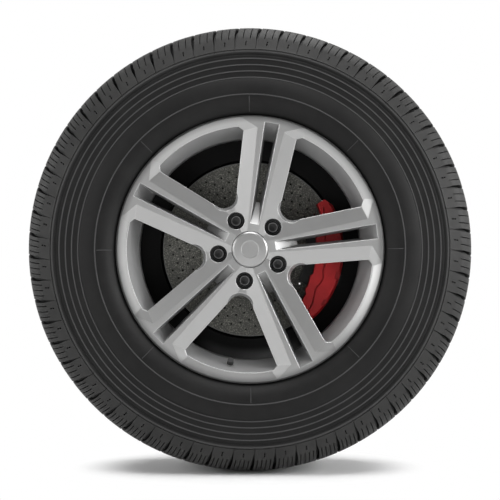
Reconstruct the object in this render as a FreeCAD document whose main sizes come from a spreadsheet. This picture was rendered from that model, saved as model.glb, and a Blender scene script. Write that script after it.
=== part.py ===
"""A car wheel with its tyre, on a hub with a disc brake.

Millimetres. The origin is the middle of the wheel, the wheel turns about Y, and -Y is the street side.
"""

import math
import os

import FreeCAD
import Part
import Sketcher

# Driving sizes: name, number, meaning
SIZES = [
    ("wheel_phase", 26.1, "turn of the wheel, from a window at the top, in degrees"),
    ("windows", 5, "windows, twin spokes and bolts round the wheel"),
    ("tyre_radius", 372.0, "crown of the tread"),
    ("tyre_half_width", 116.5, "widest place of the sidewall"),
    ("bulge_radius", 252.0, "radius of that widest place"),
    ("crown_half_width", 70.0, "flat part of the tread"),
    ("crown_drop", 4.2, "fall of the tread to its edge"),
    ("step_half_width", 110.6, "where the sidewall's bulge meets its flat band"),
    ("step_radius", 279.5, "radius of that place"),
    ("shoulder_half_width", 96.0, "where the shoulder starts to round"),
    ("shoulder_radius", 348.5, "radius of that place"),
    ("block_half_width", 105.5, "foot of the shoulder blocks"),
    ("block_radius", 327.0, "radius of that foot"),
    ("shoulder_round", 38.5, "rounding of the shoulder"),
    ("groove_count", 4, "grooves round the tread"),
    ("groove_pitch", 34.0, "between grooves round the tread"),
    ("groove_width", 9.5, "width of a groove round the tread"),
    ("groove_depth", 7.6, "depth of a groove round the tread"),
    ("tread_pitches", 61, "shoulder blocks round the tyre"),
    ("cross_groove_width", 4.2, "width of a groove across the shoulder"),
    ("cross_groove_length", 62.0, "length of a groove across the shoulder"),
    ("cross_groove_reach", 82.0, "half width of the middle of that groove"),
    ("cross_groove_floor", 356.5, "radius of the floor there"),
    ("cross_groove_slope", 31.0, "fall of the floor to the side, in degrees"),
    ("cross_groove_slant", 14.0, "slant of the groove, in degrees"),
    ("liner_radius", 355.0, "inside of the tread"),
    ("liner_half_width", 101.5, "inside of the sidewall"),
    ("liner_bulge_radius", 278.0, "radius of its widest place"),
    ("tyre_foot_half_width", 99.0, "where the sidewall leaves the rim"),
    ("bead_gap", 0.2, "room between tyre and rim"),
    ("rim_half_width", 88.9, "between the flanges, half"),
    ("flange_radius", 220.5, "edge of the rim"),
    ("flange_width", 11.5, "thickness of the flange"),
    ("seat_radius", 202.8, "bead seat"),
    ("seat_width", 20.0, "width of the bead seat"),
    ("hump", 1.6, "height of the hump beside the bead seat"),
    ("well_radius", 190.6, "tyre side of the well"),
    ("well_wall", 4.9, "thickness of the well"),
    ("barrel_radius", 192.8, "inside of the rim at the back"),
    ("band_front_radius", 204.6, "front edge of the band behind the windows"),
    ("face_hub", 92.0, "front of the face, carried to the middle"),
    ("face_rise", 0.05, "rise of the face towards the rim, for each millimetre"),
    ("face_back", 60.0, "back of the spokes"),
    ("offset", 42.0, "mounting face to the middle of the wheel"),
    ("pad_radius", 76.0, "mounting face"),
    ("window_root_side", 85.0, "where its sides start"),
    ("window_root_half", 16.0, "half width there"),
    ("window_root_round", 21.5, "rounding of the inner end"),
    ("arch_bevel", 5.0, "width of the bevel at the inner end"),
    ("arch_bevel_depth", 7.0, "depth of that bevel"),
    ("window_side", 180.5, "where its sides end"),
    ("window_side_half", 76.6, "half width there"),
    ("window_corner", 192.0, "outer end of the cut corner"),
    ("window_corner_half", 70.7, "half width there"),
    ("bevel_depth", 6.2, "fall of the facets round a window"),
    ("crease_hub", 33.0, "inner end of the crease along a spoke"),
    ("crease_hub_half", 9.2, "half distance of the two creases there"),
    ("crease_rim", 199.0, "outer end of the crease"),
    ("crease_rim_half", 22.3, "half distance of the two creases there"),
    ("lip_corner", 204.4, "corner facet at the rim, along the window"),
    ("lip_corner_half", 82.6, "half width there"),
    ("slot_front_hub", 34.0, "inner end of a slot at the front"),
    ("slot_front_rim", 210.0, "outer end of a slot at the front"),
    ("slot_back_hub", 79.5, "inner end of a slot at the back"),
    ("slot_back_rim", 184.5, "outer end of a slot at the back"),
    ("slot_front_hub_half", 8.0, "half width of the front at the hub"),
    ("slot_front_rim_half", 12.0, "half width of the front at the rim"),
    ("slot_back_hub_half", 3.2, "half width of the back at the hub"),
    ("slot_back_rim_half", 7.6, "half width of the back at the rim"),
    ("bolt_circle", 52.5, "radius of the bolt circle"),
    ("bolt_radius", 6.0, "shank of a lug bolt"),
    ("bolt_hole", 6.6, "hole for a lug bolt"),
    ("bolt_recess", 14.3, "recess for a lug bolt"),
    ("bolt_seat", 62.0, "front of the conical seat"),
    ("bolt_seat_radius", 10.4, "conical seat"),
    ("cap_recess", 30.3, "recess for the centre cap"),
    ("cap_recess_depth", 9.0, "depth of that recess"),
    ("cap_gap", 1.1, "room round the centre cap"),
    ("wheel_bore", 28.3, "bore on the hub"),
    ("cap_bore", 26.0, "bore for the clips of the centre cap"),
    ("valve_circle", 194.5, "radius of the valve hole"),
    ("valve_hole", 5.75, "valve hole"),
    ("valve_seat", 64.0, "middle of the valve hole along the axle"),
    ("valve_lean", 25.0, "lean of the valve towards the axle, in degrees"),
    ("valve_window", 2, "window that holds the valve, counted from the top one"),
    ("bevel_tilt", 3.3, "tilt of the facets with the face, in degrees"),
    ("hat_thickness", 7.0, "brake disc between hub and wheel"),
    ("hat_radius", 79.0, "hat of the brake disc"),
    ("hat_wall", 6.5, "wall of the hat"),
    ("disc_radius", 148.0, "edge of the brake disc"),
    ("disc_eye", 84.0, "inner edge of the rubbing face"),
    ("disc_front", 10.0, "street side of the rubbing face"),
    ("disc_thickness", 26.0, "rubbing face to rubbing face"),
    ("disc_cheek", 8.0, "thickness of each cheek"),
    ("vanes", 36, "vanes between the cheeks"),
    ("vane_thickness", 4.5, "thickness of a vane"),
    ("drill_rows", 20, "rows of drilled holes"),
    ("drill_count", 8, "drilled holes in a row"),
    ("drill_radius", 1.75, "drilled hole"),
    ("drill_first", 97.5, "first hole of a row"),
    ("drill_step", 5.6, "from hole to hole, outwards"),
    ("drill_turn", 11.3, "from hole to hole, round the disc, in degrees"),
    ("disc_screw_radius", 4.0, "screw that holds the disc on the hub"),
    ("disc_screw_circle", 61.0, "radius of that screw's place"),
    ("hub_flange", 12.0, "thickness of the hub's flange"),
    ("hub_radius", 70.0, "hub's flange"),
    ("hub_barrel", 40.0, "hub round the bearing"),
    ("hub_back", 26.0, "inner end of the hub"),
    ("spigot_length", 12.0, "spigot beyond the mounting face"),
    ("spigot_bore", 24.0, "bore of the spigot"),
    ("bearing_radius", 32.0, "bearing outside"),
    ("bearing_split", 25.5, "between the bearing's rings"),
    ("bearing_front", 14.0, "street end of the bearing"),
    ("bearing_back", 24.0, "inner end of the bearing"),
    ("running_gap", 0.08, "room of a running fit"),
    ("press_gap", 0.02, "room of a pressed or screwed fit"),
    ("spindle_radius", 15.0, "spindle in the bearing"),
    ("thread_radius", 10.0, "thread for the axle nut"),
    ("nut_flats", 30.0, "across the flats of the axle nut"),
    ("carrier_front", 38.0, "street side of the hub carrier"),
    ("carrier_back", 60.0, "mounting face of the hub carrier"),
    ("carrier_boss", 68.0, "radius of the boss that has that face"),
    ("lug_back", 50.0, "back of the carrier's plate and lugs"),
    ("carrier_radius", 80.0, "round part of the hub carrier"),
    ("tail_radius", 22.0, "tail of the stub axle in the carrier"),
    ("mount_across", 80.0, "mounting holes, side to side"),
    ("mount_up", 70.0, "mounting holes, up and down"),
    ("mount_hole", 6.5, "mounting hole"),
    ("shield_sheet", 1.5, "sheet of the dust shield"),
    ("shield_radius", 190.2, "face of the dust shield"),
    ("shield_skirt", 191.4, "skirt of the dust shield"),
    ("shield_face", 2.0, "street side of its outer face"),
    ("shield_skirt_depth", 26.0, "depth of that skirt"),
    ("shield_eye", 62.0, "hole in the middle of the shield"),
    ("shield_gap", 0.4, "room between the shield and the caliper"),
    ("shield_screw_circle", 70.0, "radius of the shield screws' places"),
    ("shield_screw_radius", 2.5, "shank of a shield screw"),
    ("shield_screw_length", 10.0, "shank of a shield screw in the carrier"),
    ("shield_screw_count", 3, "shield screws"),
    ("caliper_split", 3.0, "joint of the caliper's halves"),
    ("caliper_depth", 55.0, "depth of each half"),
    ("caliper_root", 112.0, "hub side of the caliper"),
    ("caliper_radius", 158.0, "outside of the caliper"),
    ("bridge_radius", 150.0, "underside of the bridge"),
    ("caliper_low", -48.0, "lower end of the caliper, in degrees"),
    ("caliper_high", 34.0, "upper end of the caliper, in degrees"),
    ("land_height", 2.6, "raised land on the caliper's face"),
    ("land_groove", 2.4, "groove beside that land"),
    ("caliper_bevel", 4.5, "bevel of the caliper's outer edge, inwards"),
    ("caliper_bevel_depth", 12.0, "bevel of the caliper's outer edge, along the axle"),
    ("pad_low", -32.0, "lower end of a pad, in degrees"),
    ("pad_high", 18.0, "upper end of a pad, in degrees"),
    ("pad_root", 96.0, "hub side of a pad"),
    ("pad_edge", 146.0, "outside of a pad"),
    ("pad_gap", 0.35, "room between pad and disc"),
    ("lining", 9.0, "thickness of the lining"),
    ("backing", 5.5, "thickness of the backing plate"),
    ("piston_radius", 15.0, "piston"),
    ("piston_circle", 130.0, "radius of the pistons' places"),
    ("piston_spread", 26.0, "angle between two pistons"),
    ("piston_length", 19.0, "length of a piston"),
    ("bridge_bolt_radius", 2.8, "bolt through the bridge of the caliper"),
    ("bridge_bolt_reach", 24.0, "length of that bolt in the outer half"),
    ("bridge_bolt_head", 5.0, "height of its head"),
    ("pin_radius", 3.0, "pad pin"),
    ("pin_circle", 153.8, "radius of the pins' places"),
]

doc = FreeCAD.newDocument("wheel")


class Size:
    """A number worked out from the sheet, with the same sum as an expression for FreeCAD."""

    def __init__(self, value, text):
        self.value = value
        self.text = text

    def __add__(self, other):
        other = size(other)
        return Size(self.value + other.value, f"({self.text} + {other.text})")

    def __sub__(self, other):
        other = size(other)
        return Size(self.value - other.value, f"({self.text} - {other.text})")

    def __mul__(self, other):
        other = size(other)
        return Size(self.value * other.value, f"({self.text} * {other.text})")

    def __truediv__(self, other):
        other = size(other)
        return Size(self.value / other.value, f"({self.text} / {other.text})")

    def __radd__(self, other):
        return size(other) + self

    def __rsub__(self, other):
        return size(other) - self

    def __rmul__(self, other):
        return size(other) * self

    def __rtruediv__(self, other):
        return size(other) / self

    def __neg__(self):
        return Size(-self.value, f"(0 - {self.text})")


def size(number):
    """Any number as a Size."""
    if isinstance(number, Size):
        return number
    return Size(float(number), repr(float(number)))


def sine(angle):
    angle = size(angle)
    return Size(math.sin(math.radians(angle.value)), f"sin({angle.text})")


def cosine(angle):
    angle = size(angle)
    return Size(math.cos(math.radians(angle.value)), f"cos({angle.text})")


def root(number):
    """Square root of a Size."""
    return Size(math.sqrt(number.value), f"sqrt({number.text})")


def polar(radius, angle):
    """Across and up of a point at a radius, the angle counted from across to up."""
    return radius * cosine(angle), radius * sine(angle)


class Sizes:
    """The sheet: each alias is an attribute that gives a Size."""

    def __init__(self, rows):
        self.sheet = doc.addObject("Spreadsheet::Sheet", "Sizes")
        for row, (alias, number, meaning) in enumerate(rows, 1):
            self.sheet.set(f"A{row}", alias)
            self.sheet.set(f"B{row}", str(number))
            self.sheet.setAlias(f"B{row}", alias)
            self.sheet.set(f"C{row}", meaning)
        doc.recompute()

    def __getattr__(self, alias):
        return Size(float(self.sheet.get(alias)), f"Sizes.{alias}")


S = Sizes(SIZES)
V = FreeCAD.Vector
HALF_SECTOR = 180.0 / S.windows


# Helpers that draw and cut

def bind(thing, **sizes):
    """Ties properties of an object to the sheet."""
    for name, value in sizes.items():
        thing.setExpression(name, size(value).text)


def origin_of(body, role):
    """An axis or a plane of a body's own origin."""
    return next(f for f in body.Origin.OriginFeatures if f.Role == role)


def new_body(label):
    body = doc.addObject("PartDesign::Body", label)
    body.Label = label
    return body


def new_sketch(body, plane, corners, y=None, tilt=None, lift=None):
    """An outline on a plane of the body; y moves a front plane along the axle, lift moves it up."""
    sketch = body.newObject("Sketcher::SketchObject", f"{body.Label}_outline")
    sketch.AttachmentSupport = [(origin_of(body, plane), "")]
    sketch.MapMode = "FlatFace"
    if tilt is not None:
        turn = FreeCAD.Rotation(V(1, 0, 0), tilt.value)
        sketch.AttachmentOffset = FreeCAD.Placement(V(0, 0, 0), turn)
        sketch.setExpression("AttachmentOffset.Rotation.Angle", tilt.text)
    if y is not None:
        sketch.setExpression("AttachmentOffset.Base.z", (-size(y)).text)
    if lift is not None:
        sketch.setExpression("AttachmentOffset.Base.y", lift.text)
    draw(sketch, corners)
    return sketch


def arc_between(start, stop, radius, left):
    """The short arc from start to stop, turning left or right on its way."""
    chord = stop - start
    half = chord.Length / 2
    rise = math.sqrt(max(radius * radius - half * half, 0.0))
    side = V(-chord.y, chord.x, 0).normalize()
    centre = (start + stop) * 0.5 + side * (rise if left else -rise)
    first, last = (start, stop) if left else (stop, start)
    circle = Part.Circle(centre, V(0, 0, 1), radius)
    begin = math.atan2(first.y - centre.y, first.x - centre.x)
    end = math.atan2(last.y - centre.y, last.x - centre.x)
    if end < begin:
        end += 2 * math.pi
    return Part.ArcOfCircle(circle, begin, end)


def draw(sketch, corners):
    """Closes an outline through the corners (across, up), each tied to the sheet.

    Two more entries, a radius and "left" or "right", make an arc of the way to the next corner.
    One corner alone, with a radius, is a whole circle about it.
    """
    count = len(corners)
    if count < 2:
        for only in corners:
            draw_circle(sketch, *only)
        return
    points = [V(size(c[0]).value, size(c[1]).value, 0) for c in corners]
    ends = []
    rules = []
    texts = []
    for i, corner in enumerate(corners):
        start = points[i]
        stop = points[(i + 1) % count]
        if len(corner) == 2:
            sketch.addGeometry(Part.LineSegment(start, stop), False)
            ends.append((1, 2))
        else:
            left = corner[3] == "left"
            sketch.addGeometry(arc_between(start, stop, size(corner[2]).value, left), False)
            ends.append((1, 2) if left else (2, 1))
    for i, corner in enumerate(corners):
        after = (i + 1) % count
        rules.append(Sketcher.Constraint("Coincident", i, ends[i][1], after, ends[after][0]))
        texts.append(None)
        for kind, axis, place in (("DistanceX", -2, corner[0]), ("DistanceY", -1, corner[1])):
            place = size(place)
            if abs(place.value) < 1e-9:
                rules.append(Sketcher.Constraint("PointOnObject", i, ends[i][0], axis))
                texts.append(None)
            else:
                rules.append(Sketcher.Constraint(kind, -1, 1, i, ends[i][0], place.value))
                texts.append(place.text)
        if len(corner) > 2:
            rules.append(Sketcher.Constraint("Radius", i, size(corner[2]).value))
            texts.append(size(corner[2]).text)
    sketch.addConstraint(rules)
    for number, text in enumerate(texts):
        if text is not None:
            sketch.setExpression(f"Constraints[{number}]", text)


def draw_circle(sketch, across, up, radius):
    """Adds a circle tied to the sheet; its middle may lie on an axis."""
    ring = sketch.addGeometry(Part.Circle(V(across.value, up.value, 0), V(0, 0, 1), radius.value), False)
    number = sketch.addConstraint(Sketcher.Constraint("Radius", ring, radius.value))
    sketch.setExpression(f"Constraints[{number}]", radius.text)
    for kind, axis, place in (("DistanceX", -2, across), ("DistanceY", -1, up)):
        if abs(place.value) < 1e-9:
            sketch.addConstraint(Sketcher.Constraint("PointOnObject", ring, 3, axis))
            continue
        number = sketch.addConstraint(Sketcher.Constraint(kind, -1, 1, ring, 3, place.value))
        sketch.setExpression(f"Constraints[{number}]", place.text)


def mirrored(corners):
    """An outline with its own mirror image across the up axis; arcs belong to the given half."""
    flipped = [(-size(across), up) for across, up in reversed(corners)]
    return corners + flipped


def turned(body, corners):
    """Adds a ring about Y; corners are (along Y, radius)."""
    feature = body.newObject("PartDesign::Revolution", f"{body.Label}_ring")
    sketch = new_sketch(body, "YZ_Plane", corners)
    feature.Profile = sketch
    feature.ReferenceAxis = (sketch, ["H_Axis"])
    feature.Angle = 360.0
    body.Tip = feature
    return feature


def turned_off(body, corners, lift=None):
    """Cuts a ring about Y, or about a line above it; corners are (along Y, radius)."""
    sketch = new_sketch(body, "YZ_Plane", corners, lift=lift)
    feature = body.newObject("PartDesign::Groove", f"{body.Label}_groove")
    feature.Profile = sketch
    feature.ReferenceAxis = (sketch, ["H_Axis"])
    feature.Angle = 360.0
    body.Tip = feature
    return feature


def slab(body, corners, front, back):
    """Adds a plate between two places along Y; corners are (X, Z)."""
    sketch = new_sketch(body, "XZ_Plane", corners, y=back)
    feature = body.newObject("PartDesign::Pad", f"{body.Label}_plate")
    feature.Profile = sketch
    bind(feature, Length=size(back) - front)
    body.Tip = feature
    return feature


def cut(body, corners, front, back):
    """Cuts a shape between two places along Y; corners are (X, Z)."""
    sketch = new_sketch(body, "XZ_Plane", corners, y=front)
    feature = body.newObject("PartDesign::Pocket", f"{body.Label}_cut")
    feature.Profile = sketch
    bind(feature, Length=size(back) - front)
    body.Tip = feature
    return feature


def tapered_cut(body, front_corners, front, back_corners, back, tilt=None):
    """Cuts the ruled shape between two outlines (X, Z), each with as many corners."""
    first = new_sketch(body, "XZ_Plane", front_corners, front, tilt)
    second = new_sketch(body, "XZ_Plane", back_corners, back, tilt)
    feature = body.newObject("PartDesign::SubtractiveLoft", f"{body.Label}_taper")
    feature.Profile = first
    feature.Sections = [second]
    feature.Ruled = True
    body.Tip = feature
    return feature


def around(body, features, count):
    """Repeats features of a body evenly about Y."""
    pattern = body.newObject("PartDesign::PolarPattern", f"{body.Label}_pattern")
    pattern.Originals = features
    pattern.Axis = (origin_of(body, "Y_Axis"), [""])
    pattern.Angle = 360.0
    bind(pattern, Occurrences=count)
    body.Tip = pattern
    return pattern


def phase(thing):
    """Turns a piece of the wheel to where the wheel stands."""
    thing.Placement = FreeCAD.Placement(V(0, 0, 0), FreeCAD.Rotation(V(0, -1, 0), S.wheel_phase.value))
    thing.setExpression("Placement.Rotation.Angle", S.wheel_phase.text)
    return thing


# Tyre

def tyre():
    body = new_body("tyre")
    edge = S.tyre_radius - S.crown_drop
    crown = (S.crown_half_width * S.crown_half_width + S.crown_drop * S.crown_drop) / (S.crown_drop * 2)

    def bulge(half_width, middle, across, up):
        """Radius of an arc that is upright at the widest place and passes one more point."""
        inward = half_width - across
        rise = up - middle
        return (inward * inward + rise * rise) / (inward * 2)

    foot_radius = S.flange_radius + 2.0
    liner_edge = S.crown_half_width + 3.0
    liner_foot = S.rim_half_width + 3.0
    liner_foot_radius = S.flange_radius + 11.5
    heel = S.rim_half_width - S.bead_gap
    heel_base = S.rim_half_width - 6.0
    toe = S.rim_half_width - S.seat_width
    base = S.seat_radius + S.bead_gap
    low = bulge(S.tyre_half_width, S.bulge_radius, S.tyre_foot_half_width, foot_radius)
    high = bulge(S.tyre_half_width, S.bulge_radius, S.step_half_width, S.step_radius)
    inner_high = bulge(S.liner_half_width, S.liner_bulge_radius, liner_edge, S.liner_radius - 2.0)
    inner_low = bulge(S.liner_half_width, S.liner_bulge_radius, liner_foot, liner_foot_radius)
    liner_crown = crown * 1.5
    wide = S.tyre_half_width
    turned(body, [
        (-S.tyre_foot_half_width, foot_radius, low, "right"),
        (-wide, S.bulge_radius, high, "right"),
        (-S.step_half_width, S.step_radius),
        (-S.block_half_width, S.block_radius),
        (-S.shoulder_half_width, S.shoulder_radius, S.shoulder_round, "right"),
        (-S.crown_half_width, edge, crown, "right"),
        (S.crown_half_width, edge, S.shoulder_round, "right"),
        (S.shoulder_half_width, S.shoulder_radius),
        (S.block_half_width, S.block_radius),
        (S.step_half_width, S.step_radius, high, "right"),
        (wide, S.bulge_radius, low, "right"),
        (S.tyre_foot_half_width, foot_radius),
        (S.rim_half_width + 5.0, S.flange_radius + S.bead_gap * 2),
        (S.rim_half_width + 2.4 - S.bead_gap, S.flange_radius - 1.2 + S.bead_gap),
        (heel, S.flange_radius - 8.5),
        (heel, base + 6.0),
        (heel_base, base + 0.2),
        (toe, base - 1.0),
        (toe, base + 10.0),
        (liner_foot, liner_foot_radius, inner_low, "left"),
        (S.liner_half_width, S.liner_bulge_radius, inner_high, "left"),
        (liner_edge, S.liner_radius - 2.0, liner_crown, "left"),
        (-liner_edge, S.liner_radius - 2.0, inner_high, "left"),
        (-S.liner_half_width, S.liner_bulge_radius, inner_low, "left"),
        (-liner_foot, liner_foot_radius),
        (-toe, base + 10.0),
        (-toe, base - 1.0),
        (-heel_base, base + 0.2),
        (-heel, base + 6.0),
        (-heel, S.flange_radius - 8.5),
        (-S.rim_half_width - 2.4 + S.bead_gap, S.flange_radius - 1.2 + S.bead_gap),
        (-S.rim_half_width - 5.0, S.flange_radius + S.bead_gap * 2),
    ])
    for number in range(int(S.groove_count.value)):
        middle = S.groove_pitch * number - S.groove_pitch * (S.groove_count - 1.0) / 2
        half = S.groove_width / 2
        floor = S.tyre_radius - S.groove_depth - S.crown_drop / 4
        turned_off(body, [
            (middle - half, S.tyre_radius + 3.0),
            (middle + half, S.tyre_radius + 3.0),
            (middle + half * 0.6, floor),
            (middle - half * 0.6, floor),
        ])
    for side in (-1, 1):
        box = body.newObject("PartDesign::SubtractiveBox", "cross_groove")
        length = S.cross_groove_length.value
        width = S.cross_groove_width.value
        bind(box, Length=S.cross_groove_width, Width=S.cross_groove_length, Height=S.crown_half_width)
        slope = FreeCAD.Rotation(V(1, 0, 0), -side * S.cross_groove_slope.value)
        slant = FreeCAD.Rotation(V(0, 0, 1), S.cross_groove_slant.value)
        turn = slope.multiply(slant)
        middle = V(0, side * S.cross_groove_reach.value, S.cross_groove_floor.value)
        box.Placement = FreeCAD.Placement(middle - turn.multVec(V(width / 2, length / 2, 0)), turn)
        body.Tip = box
        around(body, [box], S.tread_pitches).Refine = False
    return body


# Alloy wheel

def face_front(radius):
    """Place along Y of the front of the wheel's face at a radius."""
    return -S.face_hub - S.face_rise * radius


def beside_slot(along, half):
    """A point beside the middle line of the slot to the right of the top window."""
    across = along * sine(HALF_SECTOR) - half * cosine(HALF_SECTOR)
    up = along * cosine(HALF_SECTOR) + half * sine(HALF_SECTOR)
    return across, up


def window_outline():
    half = [
        (S.window_root_half, S.window_root_side),
        (S.window_side_half, S.window_side),
        (S.window_corner_half, S.window_corner),
    ]
    corners = mirrored(half)
    corners[2] = corners[2] + (S.band_front_radius + 2.0, "left")
    corners[5] = corners[5] + (S.window_root_round, "left")
    return corners


def slot_outline(hub, hub_half, rim, rim_half):
    """A slot straight down from the middle, so that it lies between two windows."""
    return [(-hub_half, -hub), (-rim_half, -rim), (rim_half, -rim), (hub_half, -hub)]


def alloy_wheel():
    body = new_body("alloy_wheel")
    rim_join = S.band_front_radius + 4.0
    inner = S.well_radius - S.well_wall
    turned(body, [
        (face_front(0.0), 0.0),
        (face_front(rim_join), rim_join),
        (-S.rim_half_width - 4.0, rim_join),
        (-S.rim_half_width * 0.945, inner + 12.0),
        (-S.face_back, inner + 5.0),
        (-S.face_back, S.pad_radius + 3.0),
        (-S.offset - 3.0, S.pad_radius + 3.0),
        (-S.offset, S.pad_radius),
        (-S.offset, 0.0),
    ])
    window = cut(body, window_outline(), face_front(S.flange_radius) - 5.0, 0.0)
    around(body, [window], S.windows)

    rim(body)
    slots(body)
    facets(body)
    arches(body)
    bolt_seats(body)
    bores(body)
    valve_hole(body)
    return body


def slots(body):
    """Tapered slots between the twin spokes, carried a little beyond front and back."""
    front = face_front(S.crease_rim)
    depth = -S.face_back - front

    def outline(share):
        """The slot at a share of the way from front to back."""
        def at(first, last):
            return first + (last - first) * share
        return slot_outline(
            at(S.slot_front_hub, S.slot_back_hub),
            at(S.slot_front_hub_half, S.slot_back_hub_half),
            at(S.slot_front_rim, S.slot_back_rim),
            at(S.slot_front_rim_half, S.slot_back_rim_half),
        )

    before = -0.2
    beyond = 1.1
    slot = tapered_cut(body, outline(before), front + depth * before, outline(beyond), front + depth * beyond)
    around(body, [slot], S.windows)


def rim(body):
    """The rim: flanges, bead seats, humps and well outside, band and barrel inside."""
    side = S.rim_half_width
    edge = S.flange_radius
    seat = S.seat_radius
    humped = seat - 1.2 + S.hump
    inner = S.well_radius - S.well_wall

    def flange(sign):
        """Tyre side of one end, from the flange's edge to the well."""
        return [
            (sign * (side + S.flange_width), edge),
            (sign * (side + 5.0), edge),
            (sign * (side + 2.4), edge - 1.2),
            (sign * side, edge - 8.5),
            (sign * side, seat + 6.0),
            (sign * (side - 6.0), seat + 0.2),
            (sign * (side - S.seat_width), seat - 1.2),
            (sign * (side - S.seat_width - 2.5), humped),
            (sign * (side - S.seat_width - 5.5), humped),
            (sign * (side - S.seat_width - 11.0), seat - 3.3),
        ]

    turned(body, [
        (face_front(S.band_front_radius), S.band_front_radius),
        (face_front(edge - 3.5), edge - 3.5),
        *flange(size(-1.0)),
        (-side * 0.54, S.well_radius),
        (-side * 0.2, S.well_radius),
        (side * 0.03, seat - 5.5),
        *reversed(flange(size(1.0))),
        (side + S.flange_width, edge - 12.0),
        (side + 5.0, S.barrel_radius + 2.0),
        (side, S.barrel_radius + 0.8),
        (side * 0.45, S.barrel_radius),
        (side * 0.03, S.barrel_radius - 1.2),
        (-side * 0.2, inner),
        (-side * 0.58, inner),
    ])


def facets(body):
    """Sloping facets that frame each window, mitred at its corners."""
    crease_in = beside_slot(S.crease_hub, S.crease_hub_half)
    crease_out = beside_slot(S.crease_rim, S.crease_rim_half)

    def meets_middle(near, far):
        """Where the line through two points crosses the middle of the window."""
        return near[1] - near[0] * (far[1] - near[1]) / (far[0] - near[0])

    low = [
        (S.window_root_half, S.window_root_side),
        (S.window_side_half, S.window_side),
        (S.window_corner_half, S.window_corner),
    ]
    high = [crease_in, crease_out, (S.lip_corner_half, S.lip_corner)]

    def outline(share):
        """The frame at a share of the way from its foot to the face, and on."""
        def at(first, last):
            return first + (last - first) * share
        apex = at(meets_middle(low[0], low[1]), meets_middle(high[0], high[1]))
        side = [(at(low[i][0], high[i][0]), at(low[i][1], high[i][1])) for i in (1, 2)]
        corners = [(0.0, apex)] + mirrored(side)
        corners[2] = corners[2] + (at(S.band_front_radius, S.flange_radius), "left")
        return corners

    over = 1.6
    foot = -S.face_hub + S.bevel_depth
    frame = tapered_cut(body, outline(over), foot - S.bevel_depth * over, outline(0.0), foot, S.bevel_tilt)
    around(body, [frame], S.windows)


def arches(body):
    """A crescent bevel at the inner end of each window, on the flat that the facets leave there."""
    half = S.window_root_half
    rounding = S.window_root_round
    middle = S.window_root_side + root(rounding * rounding - half * half)
    flat = -S.face_hub + S.bevel_depth - S.window_root_side * S.face_rise
    ahead = S.arch_bevel_depth * 0.4
    ahead_circle = circle((0.0, middle - S.arch_bevel * 1.4), rounding)
    arch_circle = circle((0.0, middle), rounding)
    bevel = tapered_cut(body, ahead_circle, flat - ahead, arch_circle, flat + S.arch_bevel_depth)
    around(body, [bevel], S.windows)


def bolt_seats(body):
    """Recess, cone and hole for each lug bolt."""
    ahead = face_front(S.bolt_circle) - 5.0
    fall = (S.bolt_seat_radius - S.bolt_hole) * 1.732
    seat = turned_off(body, [
        (ahead, 0.0),
        (ahead, S.bolt_recess),
        (-S.bolt_seat, S.bolt_recess),
        (-S.bolt_seat, S.bolt_seat_radius),
        (-S.bolt_seat + fall, S.bolt_hole),
        (1.0 - S.offset, S.bolt_hole),
        (1.0 - S.offset, 0.0),
    ], lift=S.bolt_circle)
    around(body, [seat], S.windows)


def bores(body):
    """Recess and bore of the centre cap, and the bore that sits on the hub."""
    front = face_front(S.cap_recess)
    bottom = front + S.cap_recess_depth
    step = -S.offset - S.spigot_length - 2.0
    turned_off(body, [
        (front - 5.0, 0.0),
        (front - 5.0, S.cap_recess),
        (bottom, S.cap_recess),
        (bottom, S.cap_bore),
        (step, S.cap_bore),
        (step, S.wheel_bore),
        (1.0 - S.offset, S.wheel_bore),
        (1.0 - S.offset, 0.0),
    ])


def valve_place(along):
    """Placement of a thing made about Y, set on the valve's axis and turned with the wheel's window."""
    lean = FreeCAD.Rotation(V(1, 0, 0), S.valve_lean.value)
    seat = V(0, -S.valve_seat.value, S.valve_circle.value)
    start = seat + lean.multVec(V(0, along, 0))
    turn = FreeCAD.Rotation(V(0, -1, 0), S.valve_window.value * 2 * HALF_SECTOR.value)
    return FreeCAD.Placement(turn.multVec(start), turn.multiply(lean))


def valve_hole(body):
    """Hole for the valve, from the band to the side of the well."""
    hole = body.newObject("PartDesign::SubtractiveCylinder", "valve_hole")
    bind(hole, Radius=S.valve_hole, Height=S.well_wall * 8)
    upright = FreeCAD.Rotation(V(1, 0, 0), -90.0)
    place = valve_place(-S.well_wall.value * 4)
    hole.Placement = place.multiply(FreeCAD.Placement(V(0, 0, 0), upright))
    body.Tip = hole


# Small things of the wheel

def ring_of(label, master, count, shift=0.0):
    """Copies of one piece evenly about Y, as one node."""
    copies = []
    for number in range(int(size(count).value)):
        copy = master.Shape.copy()
        copy.rotate(V(0, 0, 0), V(0, -1, 0), shift + number * 360.0 / size(count).value)
        copies.append(copy)
    return group_of(label, copies)


def group_of(label, shapes):
    """Separate alike pieces as one node."""
    node = doc.addObject("Part::Feature", label)
    node.Label = label
    node.Shape = Part.makeCompound(shapes)
    return node


def turned_piece(label, corners):
    body = new_body(label)
    turned(body, corners)
    return body


def hexagon(flats, across=0.0, up=0.0):
    """A hexagon with its flats a given way apart."""
    reach = size(flats) / 2 / cosine(30.0)
    return [(reach * cosine(60.0 * i) + across, reach * sine(60.0 * i) + up) for i in range(6)]


def centre_cap():
    front = face_front(S.cap_recess) - 2.0
    seat = face_front(S.cap_recess) + S.cap_recess_depth
    edge = S.cap_recess - S.cap_gap
    clip = S.cap_bore - 0.3
    badge = edge * 0.48
    return turned_piece("centre_cap", [
        (front - 0.6, 0.0),
        (front - 0.6, badge),
        (front - 1.0, badge + 0.6),
        (front, edge - 2.6),
        (front + 2.2, edge),
        (seat, edge),
        (seat, clip),
        (seat + 12.0, clip),
        (seat + 12.0, clip - 2.0),
        (seat - 3.0, clip - 3.0),
        (seat - 3.0, 0.0),
    ])


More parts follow.
